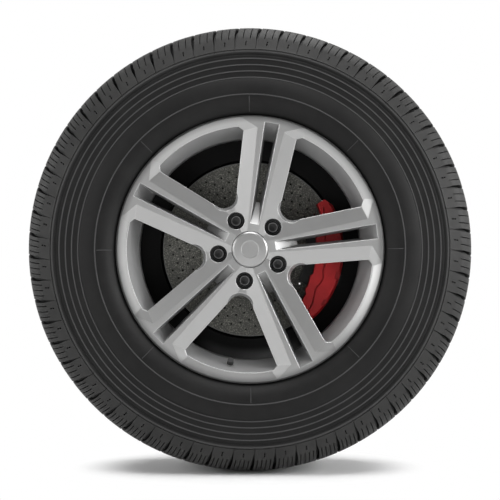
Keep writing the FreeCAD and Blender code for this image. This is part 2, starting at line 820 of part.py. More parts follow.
def lug_bolts():
    body = new_body("lug_bolt")
    seat = -S.bolt_seat
    fall = (S.bolt_seat_radius - S.bolt_hole) * 1.732
    end = -S.offset + S.hat_thickness + S.hub_flange - 1.0
    turned(body, [
        (seat - 1.0, 0.0),
        (seat - 1.0, S.bolt_seat_radius - 0.2),
        (seat + 0.1, S.bolt_seat_radius - 0.2),
        (seat + fall, S.bolt_radius),
        (end - 1.0, S.bolt_radius),
        (end, S.bolt_radius - 1.0),
        (end, 0.0),
    ])
    slab(body, hexagon(17.0), seat - 14.0, seat - 1.0)
    turned_off(body, [
        (seat - 14.0, 8.2),
        (seat - 14.0, 12.0),
        (seat - 11.8, 12.0),
    ])
    turned_off(body, [
        (seat - 15.0, 0.0),
        (seat - 15.0, 5.0),
        (seat - 10.0, 5.0),
        (seat - 9.0, 0.0),
    ])
    doc.recompute()
    raised = body.Shape.copy()
    raised.translate(V(0, 0, S.bolt_circle.value))
    master = group_of("lug_bolt_at_top", [raised])
    return phase(ring_of("lug_bolts", master, S.windows))


def on_valve(body, along):
    turn = FreeCAD.Placement(V(0, 0, 0), FreeCAD.Rotation(V(0, -1, 0), S.wheel_phase.value))
    body.Placement = turn.multiply(valve_place(along))
    return body


def valve_stem():
    body = turned_piece("valve_stem", [
        (-20.0, 0.0),
        (-20.0, 3.6),
        (-11.5, 3.9),
        (-10.5, 5.4),
        (4.0, 5.6),
        (11.5, 5.6),
        (12.0, 6.6),
        (15.0, 6.6),
        (16.0, 5.0),
        (16.0, 0.0),
    ])
    return on_valve(body, 0.0)


def valve_cap():
    body = turned_piece("valve_cap", [
        (-22.0, 0.0),
        (-22.0, 4.2),
        (-21.3, 4.9),
        (-12.0, 4.9),
        (-12.0, 4.05),
        (-20.1, 3.75),
        (-20.1, 0.0),
    ])
    return on_valve(body, 0.0)


def ring_sector(inside, outside, low, high):
    """An outline between two radii and two angles, the angles counted from X towards Z."""
    return [
        polar(size(inside), low),
        (*polar(size(outside), low), outside, "left"),
        polar(size(outside), high),
        (*polar(size(inside), high), inside, "right"),
    ]


def balance_weights():
    body = new_body("balance_weights")
    side = S.rim_half_width
    top = S.barrel_radius - 0.1
    slab(body, ring_sector(top - 4.0, top, 66.0, 82.0), side * 0.5, side * 0.72)
    return body


# Hub, bearing and axle

def wheel_hub():
    body = new_body("wheel_hub")
    face = -S.offset + S.hat_thickness
    back = face + S.hub_flange
    tip = -S.offset - S.spigot_length
    spigot = S.wheel_bore - 0.1
    turned(body, [
        (tip, S.spigot_bore),
        (tip, spigot - 1.0),
        (tip + 1.0, spigot),
        (face, spigot),
        (face, S.hub_radius),
        (back, S.hub_radius),
        (back, S.hub_barrel + 6.0),
        (back + 6.0, S.hub_barrel),
        (S.hub_back, S.hub_barrel),
        (S.hub_back, S.bearing_radius),
        (-S.bearing_front, S.bearing_radius),
        (-S.bearing_front, S.spigot_bore),
    ])
    hole = turned_off(body, [
        (face - 1.0, 0.0),
        (face - 1.0, S.bolt_radius + S.press_gap),
        (back + 1.0, S.bolt_radius + S.press_gap),
        (back + 1.0, 0.0),
    ], lift=S.bolt_circle)
    around(body, [hole], S.windows)
    hole_through(body, disc_screw_place(), S.disc_screw_radius + S.press_gap, face, back)
    return body


def bearing_outer_ring():
    return turned_piece("bearing_outer_ring", [
        (-S.bearing_front, S.bearing_split + S.running_gap),
        (-S.bearing_front, S.bearing_radius - S.press_gap),
        (S.bearing_back, S.bearing_radius - S.press_gap),
        (S.bearing_back, S.bearing_split + S.running_gap),
    ])


def bearing_inner_ring():
    return turned_piece("bearing_inner_ring", [
        (-S.bearing_front, S.spindle_radius + S.press_gap),
        (-S.bearing_front, S.bearing_split),
        (S.bearing_back, S.bearing_split),
        (S.bearing_back, S.spindle_radius + S.press_gap),
    ])


def bearing_circlip():
    body = turned_piece("bearing_circlip", [
        (S.bearing_back, 28.5),
        (S.bearing_back, S.bearing_radius - S.press_gap),
        (S.hub_back - 0.2, S.bearing_radius - S.press_gap),
        (S.hub_back - 0.2, 28.5),
    ])
    gap = ring_sector(27.0, S.bearing_radius + 2.0, 80.0, 100.0)
    cut(body, gap, S.bearing_back - 1.0, S.hub_back + 1.0)
    return body


def grease_cap():
    lip = -S.offset - S.spigot_length
    wall = 1.4
    outside = S.spigot_bore - S.press_gap
    front = lip - 12.0
    return turned_piece("grease_cap", [
        (front, 0.0),
        (front, outside - 5.0),
        (front + 4.0, outside),
        (lip + 9.0, outside),
        (lip + 9.0, outside - wall),
        (front + 4.6, outside - wall),
        (front + wall, outside - 5.6),
        (front + wall, 0.0),
    ])


def stub_axle():
    shoulder = S.bearing_back
    return turned_piece("stub_axle", [
        (-38.0, 0.0),
        (-38.0, S.thread_radius - 1.5),
        (-36.5, S.thread_radius),
        (-S.bearing_front - 2.0, S.thread_radius),
        (-S.bearing_front, S.spindle_radius),
        (shoulder, S.spindle_radius),
        (shoulder, S.spindle_radius + 6.0),
        (shoulder + 6.0, S.spindle_radius + 9.0),
        (shoulder + 6.0, 36.0),
        (S.carrier_front, 36.0),
        (S.carrier_front, S.tail_radius),
        (S.carrier_back - 2.0, S.tail_radius),
        (S.carrier_back - 2.0, 0.0),
    ])


def thrust_washer():
    return turned_piece("thrust_washer", [
        (-S.bearing_front - 3.0, S.thread_radius + 0.1),
        (-S.bearing_front - 3.0, 20.0),
        (-S.bearing_front, 20.0),
        (-S.bearing_front, S.spindle_radius + 0.2),
        (-S.bearing_front - 2.0, S.thread_radius + 0.2),
    ])


def axle_nut():
    body = new_body("axle_nut")
    back = -S.bearing_front - 3.0
    slab(body, hexagon(S.nut_flats), back - 15.0, back)
    turned_off(body, [
        (back - 16.0, 0.0),
        (back - 16.0, S.thread_radius + S.press_gap),
        (back + 1.0, S.thread_radius + S.press_gap),
        (back + 1.0, 0.0),
    ])
    return body


# Brake disc

def brake_disc():
    body = new_body("brake_disc")
    front = -S.offset
    inside = front + S.hat_thickness
    face = -S.disc_front
    gap_front = face + S.disc_cheek
    gap_back = face + S.disc_thickness - S.disc_cheek
    turned(body, [
        (front, S.wheel_bore),
        (front, S.hat_radius - 1.5),
        (front + 1.5, S.hat_radius),
        (face, S.hat_radius),
        (face, S.disc_eye - 3.0),
        (face + 1.0, S.disc_eye),
        (face, S.disc_eye + 1.0),
        (face, S.disc_radius),
        (gap_front, S.disc_radius),
        (gap_front, S.hat_radius - S.hat_wall),
        (inside, S.hat_radius - S.hat_wall),
        (inside, S.wheel_bore),
    ])
    turned(body, [
        (gap_back, S.disc_eye + 2.0),
        (gap_back, S.disc_radius),
        (face + S.disc_thickness, S.disc_radius),
        (face + S.disc_thickness, S.disc_eye + 2.0),
    ])
    half = S.vane_thickness / 2
    vane = slab(body, [
        (-half, S.disc_eye + 3.0),
        (half, S.disc_eye + 3.0),
        (half, S.disc_radius - 2.0),
        (-half, S.disc_radius - 2.0),
    ], gap_front - 0.5, gap_back + 0.5)
    around(body, [vane], S.vanes)
    hole = turned_off(body, [
        (front - 1.0, 0.0),
        (front - 1.0, S.bolt_hole),
        (inside + 1.0, S.bolt_hole),
        (inside + 1.0, 0.0),
    ], lift=S.bolt_circle)
    around(body, [hole], S.windows)
    across, up = disc_screw_place()
    hole_through(body, (across, up), S.disc_screw_radius + S.press_gap, front, inside)
    drilled(body, face, face + S.disc_thickness)
    return body


def drilled(body, front, back):
    """Rows of small holes that curve outwards through both cheeks."""
    sketch = new_sketch(body, "XZ_Plane", [], y=front - 1.0)
    for number in range(int(S.drill_count.value)):
        across, up = polar(S.drill_first + S.drill_step * number, S.drill_turn * number)
        draw_circle(sketch, across, up, S.drill_radius)
    row = body.newObject("PartDesign::Pocket", "drilled_row")
    row.Profile = sketch
    bind(row, Length=back - front + 2.0)
    body.Tip = row
    around(body, [row], S.drill_rows)


def disc_screw_place():
    """Between two lug bolts, towards the edge of the hub."""
    return polar(S.disc_screw_circle, 90.0 + HALF_SECTOR)


def disc_screw():
    """A headless screw that holds the disc on the hub while the wheel is off."""
    across, up = disc_screw_place()
    body = new_body("disc_screw")
    front = -S.offset + 0.5
    back = -S.offset + S.hat_thickness + S.hub_flange - 2.0
    slab(body, circle((across, up), S.disc_screw_radius), front, back)
    cut(body, hexagon(S.disc_screw_radius, across, up), front - 1.0, front + 3.0)
    return body


# Carrier and shield

def carrier_plate(body):
    front = S.carrier_front
    bore = S.tail_radius + S.press_gap
    turned(body, [
        (front, bore),
        (front, S.carrier_radius),
        (S.lug_back, S.carrier_radius),
        (S.lug_back, S.carrier_boss),
        (S.carrier_back, S.carrier_boss),
        (S.carrier_back, bore),
    ])


def hub_carrier():
    body = new_body("hub_carrier")
    front = S.carrier_front
    back = S.carrier_back
    carrier_plate(body)
    for low in (S.caliper_low + 2.0, S.caliper_high - 12.0):
        lug = ring_sector(S.carrier_radius - 8.0, S.carrier_radius + 28.0, low, low + 10.0)
        slab(body, lug, front, S.lug_back)
        lug_hole = polar(S.carrier_radius + 19.0, low + 5.0)
        hole_through(body, lug_hole, 5.2, front, S.lug_back)
    for across in (-1, 1):
        for up in (-1, 1):
            place = (S.mount_across / 2 * across, S.mount_up / 2 * up)
            hole_through(body, place, S.mount_hole, front, back)
    shield_screw_holes(body, S.press_gap)
    return body


def circle(place, radius):
    """A round outline."""
    return [(size(place[0]), size(place[1]), size(radius))]


def hole_through(body, place, radius, front, back):
    """A round hole along Y."""
    return cut(body, circle(place, radius), size(front) - 1.0, size(back) + 1.0)


def dust_shield():
    body = new_body("dust_shield")
    sheet = S.shield_sheet
    foot = S.carrier_front
    edge = S.disc_radius + 5.0
    behind = S.disc_thickness - S.disc_front + 6.0
    dish = S.carrier_radius + 7.0
    face = S.shield_face
    turned(body, [
        (foot - sheet, S.shield_eye),
        (foot - sheet, S.carrier_radius - 2.0),
        (behind, dish),
        (behind, edge),
        (face, edge),
        (face, S.shield_radius),
        (face + S.shield_skirt_depth, S.shield_skirt),
        (face + S.shield_skirt_depth, S.shield_skirt - sheet),
        (face + sheet, S.shield_radius - sheet),
        (face + sheet, edge + sheet),
        (behind + sheet, edge + sheet),
        (behind + sheet, dish + sheet),
        (foot, S.carrier_radius - 2.0 + sheet),
        (foot, S.shield_eye),
    ])
    cut(body, caliper_room(), face - 5.0, S.carrier_front - sheet - 0.5)
    shield_screw_holes(body, 0.2)
    return body


def caliper_room():
    """Opening in the shield for the caliper and the pads."""
    root = S.pad_root - S.shield_gap
    edge = S.caliper_radius + S.shield_gap
    high = S.caliper_high + 0.3
    low = S.caliper_low - 0.3
    return [
        (*polar(root, S.pad_low - 0.5), root, "left"),
        polar(root, S.pad_high + 0.5),
        polar(S.caliper_root + 20.0, high),
        polar(edge - 8.0, high),
        (*polar(edge, high - 6.0), edge, "right"),
        polar(edge, low),
        polar(S.caliper_root + 12.0, low),
    ]


def shield_screws():
    sheet = S.carrier_front - S.shield_sheet
    end = S.carrier_front + S.shield_screw_length
    body = turned_piece("shield_screw", [
        (sheet - 4.0, 0.0),
        (sheet - 4.0, 4.0),
        (sheet, 6.0),
        (sheet, S.shield_screw_radius),
        (end, S.shield_screw_radius),
        (end, 0.0),
    ])
    doc.recompute()
    raised = body.Shape.copy()
    raised.translate(V(0, 0, S.shield_screw_circle.value))
    return ring_of("shield_screws", group_of("shield_screw_at_top", [raised]), S.shield_screw_count)


def shield_screw_holes(body, gap):
    """Holes for the shield screws, in the shield or in the carrier."""
    for number in range(int(S.shield_screw_count.value)):
        place = polar(S.shield_screw_circle, 90.0 - 360.0 / S.shield_screw_count * number)
        end = S.carrier_front + S.shield_screw_length
        hole_through(body, place, S.shield_screw_radius + gap, S.carrier_front - S.shield_sheet, end)


# Caliper

def caliper_outline(grow=0.0):
    root = S.caliper_root - grow
    edge = S.caliper_radius
    low = S.caliper_low
    high = S.caliper_high
    return [
        polar(root + 2.4, low + 12.0),
        polar(root + 2.0, low + 17.0),
        polar(root - 1.5, low + 24.6),
        polar(root + 1.5, low + 27.0),
        (*polar(root, low + 34.0), root, "left"),
        polar(root, high - 21.0),
        polar(root + 21.0, high - 7.0),
        polar(root + 24.0, high),
        polar(edge - 8.0, high),
        (*polar(edge, high - 6.0), edge, "right"),
        polar(edge, low),
        polar(root + 14.0, low),
        polar(root + 9.0, low + 5.5),
        polar(root + 8.0, low + 9.5),
    ]


def far(sign, depth):
    """A place at a depth from the joint of the caliper's halves, on the street side or the other."""
    return S.caliper_split + size(depth) * sign


def between(sign, near_depth, far_depth):
    """Front and back of a span of depths, in order along Y."""
    ends = (far(sign, near_depth), far(sign, far_depth))
    return sorted(ends, key=lambda place: place.value)


def piston_places():
    middle = (S.pad_low + S.pad_high) / 2
    return [polar(S.piston_circle, middle + S.piston_spread / 2 * way) for way in (-1.0, 1.0)]


def pin_places():
    middle = (S.pad_low + S.pad_high) / 2
    return [polar(S.pin_circle, middle + 12.0 * way) for way in (-1.0, 1.0)]


def bridge_bolt_places():
    """Two places at each end of the caliper, in the middle of its bridge."""
    circle_radius = (S.bridge_radius + S.caliper_radius) / 2
    angles = (S.caliper_low + 6.0, S.pad_low + 1.0, S.pad_high - 3.0, S.caliper_high - 11.0)
    return [polar(circle_radius, angle) for angle in angles]


def caliper_half(label, sign, bolt_depth):
    body = new_body(label)
    clear = S.disc_thickness / 2 + 2.0
    floor = S.disc_thickness / 2 + S.pad_gap + S.lining + S.backing + 1.2
    slab(body, caliper_outline(), *between(sign, clear, S.caliper_depth))
    bridge = ring_sector(S.bridge_radius, S.caliper_radius, S.caliper_low, S.caliper_high - 6.0)
    slab(body, bridge, *between(sign, 0.0, clear + 1.0))
    room = ring_sector(S.pad_root - 20.0, S.bridge_radius - 0.5, S.pad_low - 1.5, S.pad_high + 1.5)
    cut(body, room, *between(sign, clear - 1.0, floor))
    sight = ring_sector(S.bridge_radius - 8.0, S.caliper_radius + 9.0, S.pad_low + 7.0, S.pad_high - 7.0)
    cut(body, sight, *between(sign, -1.0, floor + 4.0))
    for place in piston_places():
        bore = S.piston_radius + S.running_gap
        cut(body, circle(place, bore), *between(sign, floor - 1.0, floor + S.piston_length + 2.0))
    for place in pin_places():
        cut(body, circle(place, S.pin_radius + S.press_gap), *between(sign, floor + 3.0, floor + 14.0))
    for place in bridge_bolt_places():
        cut(body, circle(place, S.bridge_bolt_radius + S.press_gap), *between(sign, -1.0, bolt_depth))
    return body


def division(grow=0.0):
    """The wavy line across the caliper's face, from its upper end to its lower end."""
    low = S.caliper_low
    high = S.caliper_high
    line = S.caliper_root + grow
    return [
        polar(line + 29.0, high - 4.0),
        polar(line + 15.0, high - 23.0),
        polar(line + 14.5, low + 35.5),
        polar(line + 13.5, low + 32.0),
        polar(line + 18.5, low + 27.0),
        polar(line + 17.5, low + 22.5),
        polar(line + 14.2, low + 18.0),
        polar(line + 17.5, low + 13.3),
        polar(line + 24.3, low + 7.5),
        polar(line + 30.0, low),
    ]


def caliper_outer_half():
    body = caliper_half("caliper_outer_half", -1.0, S.bridge_bolt_reach + 1.0)
    front = far(-1.0, S.caliper_depth)
    edge = S.caliper_radius
    low = S.caliper_low
    hub_side = caliper_outline()
    land = hub_side[:8] + division() + hub_side[11:]
    slab(body, land, front - S.land_height, front)
    groove = division() + division(S.land_groove)[::-1]
    cut(body, groove, front - 1.0, front + S.land_groove)
    turned_off(body, [
        (front - S.land_height - 1.0, edge - S.caliper_bevel),
        (front - S.land_height - 1.0, edge + 5.0),
        (front + S.caliper_bevel_depth, edge + 5.0),
        (front + S.caliper_bevel_depth, edge),
        (front, edge - S.caliper_bevel),
    ])
    for start, stop in ((29.0, 33.5), (10.5, 14.5)):
        notch = ring_sector(edge - 8.5, edge + 6.0, low + start, low + stop)
        cut(body, notch, front - 4.0, front + 9.0)
    return body


def caliper_inner_half():
    body = caliper_half("caliper_inner_half", 1.0, S.caliper_depth + 1.0)
    front = S.carrier_front - 13.0
    for low in (S.caliper_low + 2.0, S.caliper_high - 12.0):
        ear = ring_sector(S.carrier_radius + 10.0, S.caliper_root + 22.0, low, low + 10.0)
        slab(body, ear, front, S.carrier_front)
        hole = polar(S.carrier_radius + 19.0, low + 5.0)
        hole_through(body, hole, 5.0 + S.press_gap, front, S.carrier_front)
    return body


def caliper_bolts():
    shapes = []
    for low in (S.caliper_low + 2.0, S.caliper_high - 12.0):
        across, up = polar(S.carrier_radius + 19.0, low + 5.0)
        body = turned_piece("caliper_bolt", [
            (S.carrier_front - 12.0, 0.0),
            (S.carrier_front - 12.0, 4.2),
            (S.carrier_front - 11.0, 5.0),
            (S.lug_back, 5.0),
            (S.lug_back, 10.0),
            (S.lug_back + 2.0, 10.0),
            (S.lug_back + 2.0, 0.0),
        ])
        slab(body, hexagon(15.0), S.lug_back + 2.0, S.lug_back + 9.0)
        doc.recompute()
        shape = body.Shape.copy()
        shape.translate(V(across.value, 0, up.value))
        shapes.append(shape)
    return group_of("caliper_bolts", shapes)


def bridge_bolts():
    seat = far(1.0, S.caliper_depth)
    radius = S.bridge_bolt_radius
    body = turned_piece("bridge_bolt", [
        (far(-1.0, S.bridge_bolt_reach), 0.0),
        (far(-1.0, S.bridge_bolt_reach), radius),
        (seat, radius),
        (seat, radius * 1.75),
        (seat + S.bridge_bolt_head, radius * 1.75),
        (seat + S.bridge_bolt_head, 0.0),
    ])
    cut(body, hexagon(radius * 1.6), seat + S.bridge_bolt_head - 2.5, seat + S.bridge_bolt_head + 1.0)
    doc.recompute()
    shapes = []
    for across, up in bridge_bolt_places():
        shape = body.Shape.copy()
        shape.translate(V(across.value, 0, up.value))
        shapes.append(shape)
    return group_of("bridge_bolts", shapes)


def pad_pins():
    floor = S.disc_thickness / 2 + S.pad_gap + S.lining + S.backing + 1.2
    shapes = []
    for across, up in pin_places():
        body = turned_piece("pad_pin", [
            (far(-1.0, floor + 13.5), 0.0),
            (far(-1.0, floor + 13.5), S.pin_radius),
            (far(1.0, floor + 13.5), S.pin_radius),
            (far(1.0, floor + 13.5), 0.0),
        ])
        doc.recompute()
        shape = body.Shape.copy()
        shape.translate(V(across.value, 0, up.value))
        shapes.append(shape)
    return group_of("pad_pins", shapes)


def pad_span(sign, start, stop):
    near = S.disc_thickness / 2 + S.pad_gap
    return between(sign, near + start, near + stop)


def pad_lining(label, sign):
    body = new_body(label)
    outline = ring_sector(S.pad_root + 3.0, S.pad_edge - 1.5, S.pad_low + 1.0, S.pad_high - 1.0)
    slab(body, outline, *pad_span(sign, 0.0, S.lining))
    middle = (S.pad_low + S.pad_high) / 2
    slot = ring_sector(S.pad_root - 5.0, S.pad_edge + 5.0, middle - 0.6, middle + 0.6)
    cut(body, slot, *pad_span(sign, -1.0, S.lining - 2.0))
    return body


def pad_plate(label, sign):
    body = new_body(label)
    span = pad_span(sign, S.lining, S.lining + S.backing)
    slab(body, ring_sector(S.pad_root, S.pad_edge, S.pad_low, S.pad_high), *span)
    middle = (S.pad_low + S.pad_high) / 2
    for way in (-1.0, 1.0):
        tab = middle + 12.0 * way
        slab(body, ring_sector(S.pad_edge - 4.0, S.pin_circle + 7.0, tab - 3.5, tab + 3.5), *span)
    for place in pin_places():
        hole_through(body, place, S.pin_radius + 0.5, *span)
    return body


def pistons(label, sign):
    near = S.disc_thickness / 2 + S.pad_gap + S.lining + S.backing
    back = near + S.piston_length
    radius = S.piston_radius
    shapes = []
    for across, up in piston_places():
        body = turned_piece("piston", [
            (far(sign, near), radius - 5.0),
            (far(sign, near), radius),
            (far(sign, back), radius),
            (far(sign, back), 0.0),
            (far(sign, back - 5.0), 0.0),
            (far(sign, back - 5.0), radius - 5.0),
        ])
        doc.recompute()
        shape = body.Shape.copy()
        shape.translate(V(across.value, 0, up.value))
        shapes.append(shape)
    return group_of(label, shapes)


def bleeders():
    """Bleed screws on the outside of the caliper, and their caps."""
    angle = S.caliper_high - 17.0
    screw = turned_piece("bleed_screw", [
        (0.0, 0.0),
        (0.0, 4.5),
        (5.0, 4.5),
        (6.0, 2.4),
        (13.0, 2.4),
        (13.0, 0.0),
    ])
    cap = turned_piece("bleed_cap", [
        (6.2, 2.5),
        (6.2, 4.0),
        (13.5, 3.8),
        (15.0, 2.5),
        (15.0, 0.0),
        (13.1, 0.0),
        (13.1, 2.5),
    ])
    doc.recompute()
    foot = polar(S.caliper_radius, angle)
    outward = FreeCAD.Rotation(V(0, 1, 0), V(foot[0].value, 0, foot[1].value))
    screws = []
    caps = []
    for sign in (-1.0, 1.0):
        at = V(foot[0].value, far(sign, S.caliper_depth * 0.7).value, foot[1].value)
        place = FreeCAD.Placement(at, outward)
        screws.append(screw.Shape.transformed(place.toMatrix()))
        caps.append(cap.Shape.transformed(place.toMatrix()))
    return [group_of("bleed_screws", screws), group_of("bleed_caps", caps)]


made = [
    tyre(),
    phase(alloy_wheel()),
    phase(centre_cap()),
    valve_stem(),
    valve_cap(),
    lug_bolts(),
    balance_weights(),
    phase(brake_disc()),
    phase(disc_screw()),
    phase(wheel_hub()),
    grease_cap(),
    bearing_outer_ring(),
    bearing_inner_ring(),
    bearing_circlip(),
    stub_axle(),
    thrust_washer(),
    axle_nut(),
    hub_carrier(),
    dust_shield(),
    shield_screws(),
    caliper_outer_half(),
    caliper_inner_half(),
    caliper_bolts(),
    bridge_bolts(),
    pad_pins(),
    pad_plate("outer_pad_plate", -1.0),
    pad_lining("outer_pad_lining", -1.0),
    pistons("outer_pistons", -1.0),
    pad_plate("inner_pad_plate", 1.0),
    pad_lining("inner_pad_lining", 1.0),
    pistons("inner_pistons", 1.0),
    *bleeders(),
]

doc.recompute()
os.makedirs("parts", exist_ok=True)
broken = [thing.Name for thing in doc.Objects if "Invalid" in thing.State or "Error" in thing.State]
print("broken:", broken)
for piece in made:
    shape = piece.Shape
    if shape.isNull() or not shape.isValid():
        print("bad shape:", piece.Label)
        continue
    print(piece.Label, len(shape.Solids), round(shape.Volume))
    shape.exportStep(f"parts/{piece.Label}.step")
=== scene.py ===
# %% [markdown]
# # A car wheel with its tyre and disc brake
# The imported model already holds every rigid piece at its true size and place. This lesson dresses it:
# a tyre with a real tread, silver lacquer on the wheel, rubbed iron on the brake disc, red lacquer on
# the caliper, and a plain studio round it. Lengths are metres, except for the tyre's section and relief,
# which are in millimetres. The wheel turns about Y, and its street side looks along -Y.

# %% Load the frame
import math
import bpy
import numpy as np
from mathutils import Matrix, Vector


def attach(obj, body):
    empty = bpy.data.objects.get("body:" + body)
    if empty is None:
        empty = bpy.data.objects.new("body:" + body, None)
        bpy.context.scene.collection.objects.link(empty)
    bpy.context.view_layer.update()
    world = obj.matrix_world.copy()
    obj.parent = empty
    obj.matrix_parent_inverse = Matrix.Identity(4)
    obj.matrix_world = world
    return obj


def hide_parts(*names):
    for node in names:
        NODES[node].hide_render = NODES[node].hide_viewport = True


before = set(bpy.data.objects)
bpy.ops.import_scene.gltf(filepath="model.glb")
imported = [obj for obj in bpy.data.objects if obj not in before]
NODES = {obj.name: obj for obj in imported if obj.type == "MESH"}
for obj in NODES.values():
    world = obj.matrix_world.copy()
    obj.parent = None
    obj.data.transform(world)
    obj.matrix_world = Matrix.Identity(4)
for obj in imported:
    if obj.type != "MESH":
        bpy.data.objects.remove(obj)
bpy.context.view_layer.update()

MM = 0.001

# %% [markdown]
# ## Writing shaders as sums
# A finish is a small net of nodes. Drawing it by hand in code hides the idea behind wiring, so one class
# wraps a socket and lets Python's own operators add the Math nodes. Every other node comes from its one
# method `add`, which sets the node's settings first and then fills its sockets.

# %% A socket that can do sums
class Wire:
    """An output socket of a material or the world; sums with it add Math nodes."""

    def __init__(self, socket):
        self.socket = socket
        self.tree = socket.id_data

    def add(self, kind, settings=None, sockets=None, out=0):
        node = self.tree.nodes.new(kind)
        for name, value in (settings or {}).items():
            setattr(node, name, value)
        for key, value in (sockets or {}).items():
            self.feed(node.inputs[key], value)
        return Wire(node.outputs[out])

    def feed(self, socket, value):
        if isinstance(value, Wire):
            self.tree.links.new(value.socket, socket)
        else:
            socket.default_value = value

    def math(self, operation, *values):
        return self.add("ShaderNodeMath", {"operation": operation}, dict(enumerate(values)))

    def __add__(self, other):
        return self.math("ADD", self, other)

    def __sub__(self, other):
        return self.math("SUBTRACT", self, other)

    def __rsub__(self, other):
        return self.math("SUBTRACT", other, self)

    def __mul__(self, other):
        return self.math("MULTIPLY", self, other)

    def __truediv__(self, other):
        return self.math("DIVIDE", self, other)

    def __mod__(self, other):
        return self.math("FLOORED_MODULO", self, other)

    __radd__ = __add__
    __rmul__ = __mul__


print("sums ready")

# %% [markdown]
# ## Helpers for finishes
# Colours blend through a Mix node, because a Math node would turn them grey. A soft step from 0 to 1 is
# the mask used most: it paints an edge, a rim of dust or a dark recess without a hard border.

# %% Values and colours
def blend(first, second, amount):
    """A colour between two colours."""
    return amount.add("ShaderNodeMix", {"data_type": "RGBA"}, {0: amount, 6: first, 7: second}, out=2)


def soft_step(value, low, high):
    """0 at low, 1 at high, smooth between and level beyond; low may be the larger."""
    settings = {"interpolation_type": "SMOOTHSTEP"}
    return value.add("ShaderNodeMapRange", settings, {0: value, 1: low, 2: high, 3: 0.0, 4: 1.0})


def noise(place, scale, detail=3.0, rough=0.55):
    """Cloudy values about 0.5."""
    sockets = {"Vector": place, "Scale": scale, "Detail": detail, "Roughness": rough}
    return place.add("ShaderNodeTexNoise", None, sockets)


def parts_of(place):
    """Across, along the axle and up, as three values."""
    parts = place.add("ShaderNodeSeparateXYZ", None, {0: place})
    return [Wire(socket) for socket in parts.socket.node.outputs]


def length_of(first, second):
    """Length of the line with these two parts."""
    square = first * first + second * second
    return square.math("SQRT", square)


def from_axle(place):
    """Distance from the axle."""
    across, along_axle, up = parts_of(place)
    return length_of(across, up)


def grey(value, tint=(1.0, 1.0, 1.0)):
    return (value * tint[0], value * tint[1], value * tint[2], 1.0)


print("values and colours ready")

# %% [markdown]
# Four more helpers start a material, wire finished nets to its shader, raise a bump and dress nodes of
# the frame. A bump lies over another normal where one is given, so grain can follow a rounded edge.

# %% Materials
def finish(name, **plain):
    """A material: the material, its shader, and object coordinates to paint with."""
    material = bpy.data.materials.new(name)
    material.use_nodes = True
    tree = material.node_tree
    shader = tree.nodes["Principled BSDF"]
    for socket, value in plain.items():
        shader.inputs[socket.replace("_", " ")].default_value = value
    place = Wire(tree.nodes.new("ShaderNodeTexCoord").outputs["Object"])
    return material, shader, place


def paint(shader, **nets):
    """Wires nets to the shader's inputs."""
    for socket, wire in nets.items():
        wire.feed(shader.inputs[socket.replace("_", " ")], wire)


def bumped(height, strength, distance, over=None):
    """A normal that follows a height, over another normal or the face's own."""
    sockets = {"Strength": strength, "Distance": distance, "Height": height}
    if over:
        sockets["Normal"] = over
    return height.add("ShaderNodeBump", None, sockets)


def dress(material, *names):
    """Gives CAD nodes a material in all their slots."""
    for name in names:
        mesh = NODES[name].data
        mesh.materials.clear()
        mesh.materials.append(material)


print("materials ready")

# %% [markdown]
# ## Tyre rubber
# Rubber is nearly black, but never flat: mould release and dust leave it patchy, and a fine grain breaks
# its shine. Large soft patches change the colour, dust changes the roughness, and a fine noise raises the
# grain. The road scours the tread paler than the sidewall. The tyre's meshes carry their relief in
# millimetres: raised lines get a painted highlight in a paler colour, and grooves, where little light
# gets in, are painted black as painted shade.

# %% Tyre rubber
DUST_TINT = (1.0, 0.99, 0.97)
TREAD_START = (0.320, 0.328)


def tyre_rubber():
    material, shader, place = finish("tyre_rubber", Specular_IOR_Level=0.2)
    relief = place.add("ShaderNodeAttribute", {"attribute_name": "relief"}, out="Fac")
    patches = noise(place, 9.0, 4.0)
    grain = noise(place, 700.0, 2.0)
    dust = noise(place, 45.0, 5.0, 0.65)
    dusty = soft_step(patches * 0.6 + dust * 0.4, 0.35, 0.7)
    colour = blend(grey(0.007), grey(0.012, DUST_TINT), dusty)
    scoured = soft_step(from_axle(place), *TREAD_START)
    colour = blend(colour, grey(0.036, DUST_TINT), scoured * (0.6 + 0.4 * dusty))
    # Painted highlight: raised lines are painted paler, as if they caught the light.
    colour = blend(colour, grey(0.060), soft_step(relief, 0.1, 0.6))
    # Painted shade: grooves and hollows are painted nearly black.
    colour = blend(colour, grey(0.002), soft_step(relief, -0.6, -3.2))
    paint(shader, Base_Color=colour, Roughness=0.44 + 0.22 * dust, Normal=bumped(grain, 0.25, 0.0003))
    return material


RUBBER = tyre_rubber()
print("made", RUBBER.name)

# %% [markdown]
# ## The tyre's section
# A tyre is a line turned about the axle, so its section comes first: foot at the rim, bulging sidewall,
# rounded shoulder, nearly flat crown. The same arcs as in the solid are sampled here as a dense line
# with its length and its outward direction, and every detail is then placed along that line. Points are
# millimetres from the middle of the tyre and from the axle.

# %% The tyre's section
BEAD = [(-88.9, 212.0), (-91.1, 219.5), (-93.9, 220.9)]
FOOT = (-99.0, 222.5)
BULGE = (-115.7, 252.0)
STEP = (-109.8, 279.5)
BLOCK_FOOT = (-104.9, 327.0)
SHOULDER = (-96.0, 348.5)
SHOULDER_ROUND = 38.5
CROWN_EDGE = (-70.0, 367.8)
APEX = (0.0, 372.0)
CROWN_RISE = APEX[1] - CROWN_EDGE[1]
CROWN_ROUND = (CROWN_EDGE[0] ** 2 + CROWN_RISE ** 2) / (2 * CROWN_RISE)


def arc(start, stop, radius, count):
    """Points of the short arc that turns right on its way from start to stop."""
    start = np.array(start)
    stop = np.array(stop)
    chord = stop - start
    half = np.linalg.norm(chord) / 2
    right = np.array([chord[1], -chord[0]]) / (2 * half)
    centre = (start + stop) / 2 + right * math.sqrt(radius * radius - half * half)
    first = math.atan2(*(start - centre)[::-1])
    last = math.atan2(*(stop - centre)[::-1])
    if last > first:
        last -= 2 * math.pi
    angles = np.linspace(first, last, count)
    return centre + radius * np.column_stack([np.cos(angles), np.sin(angles)])


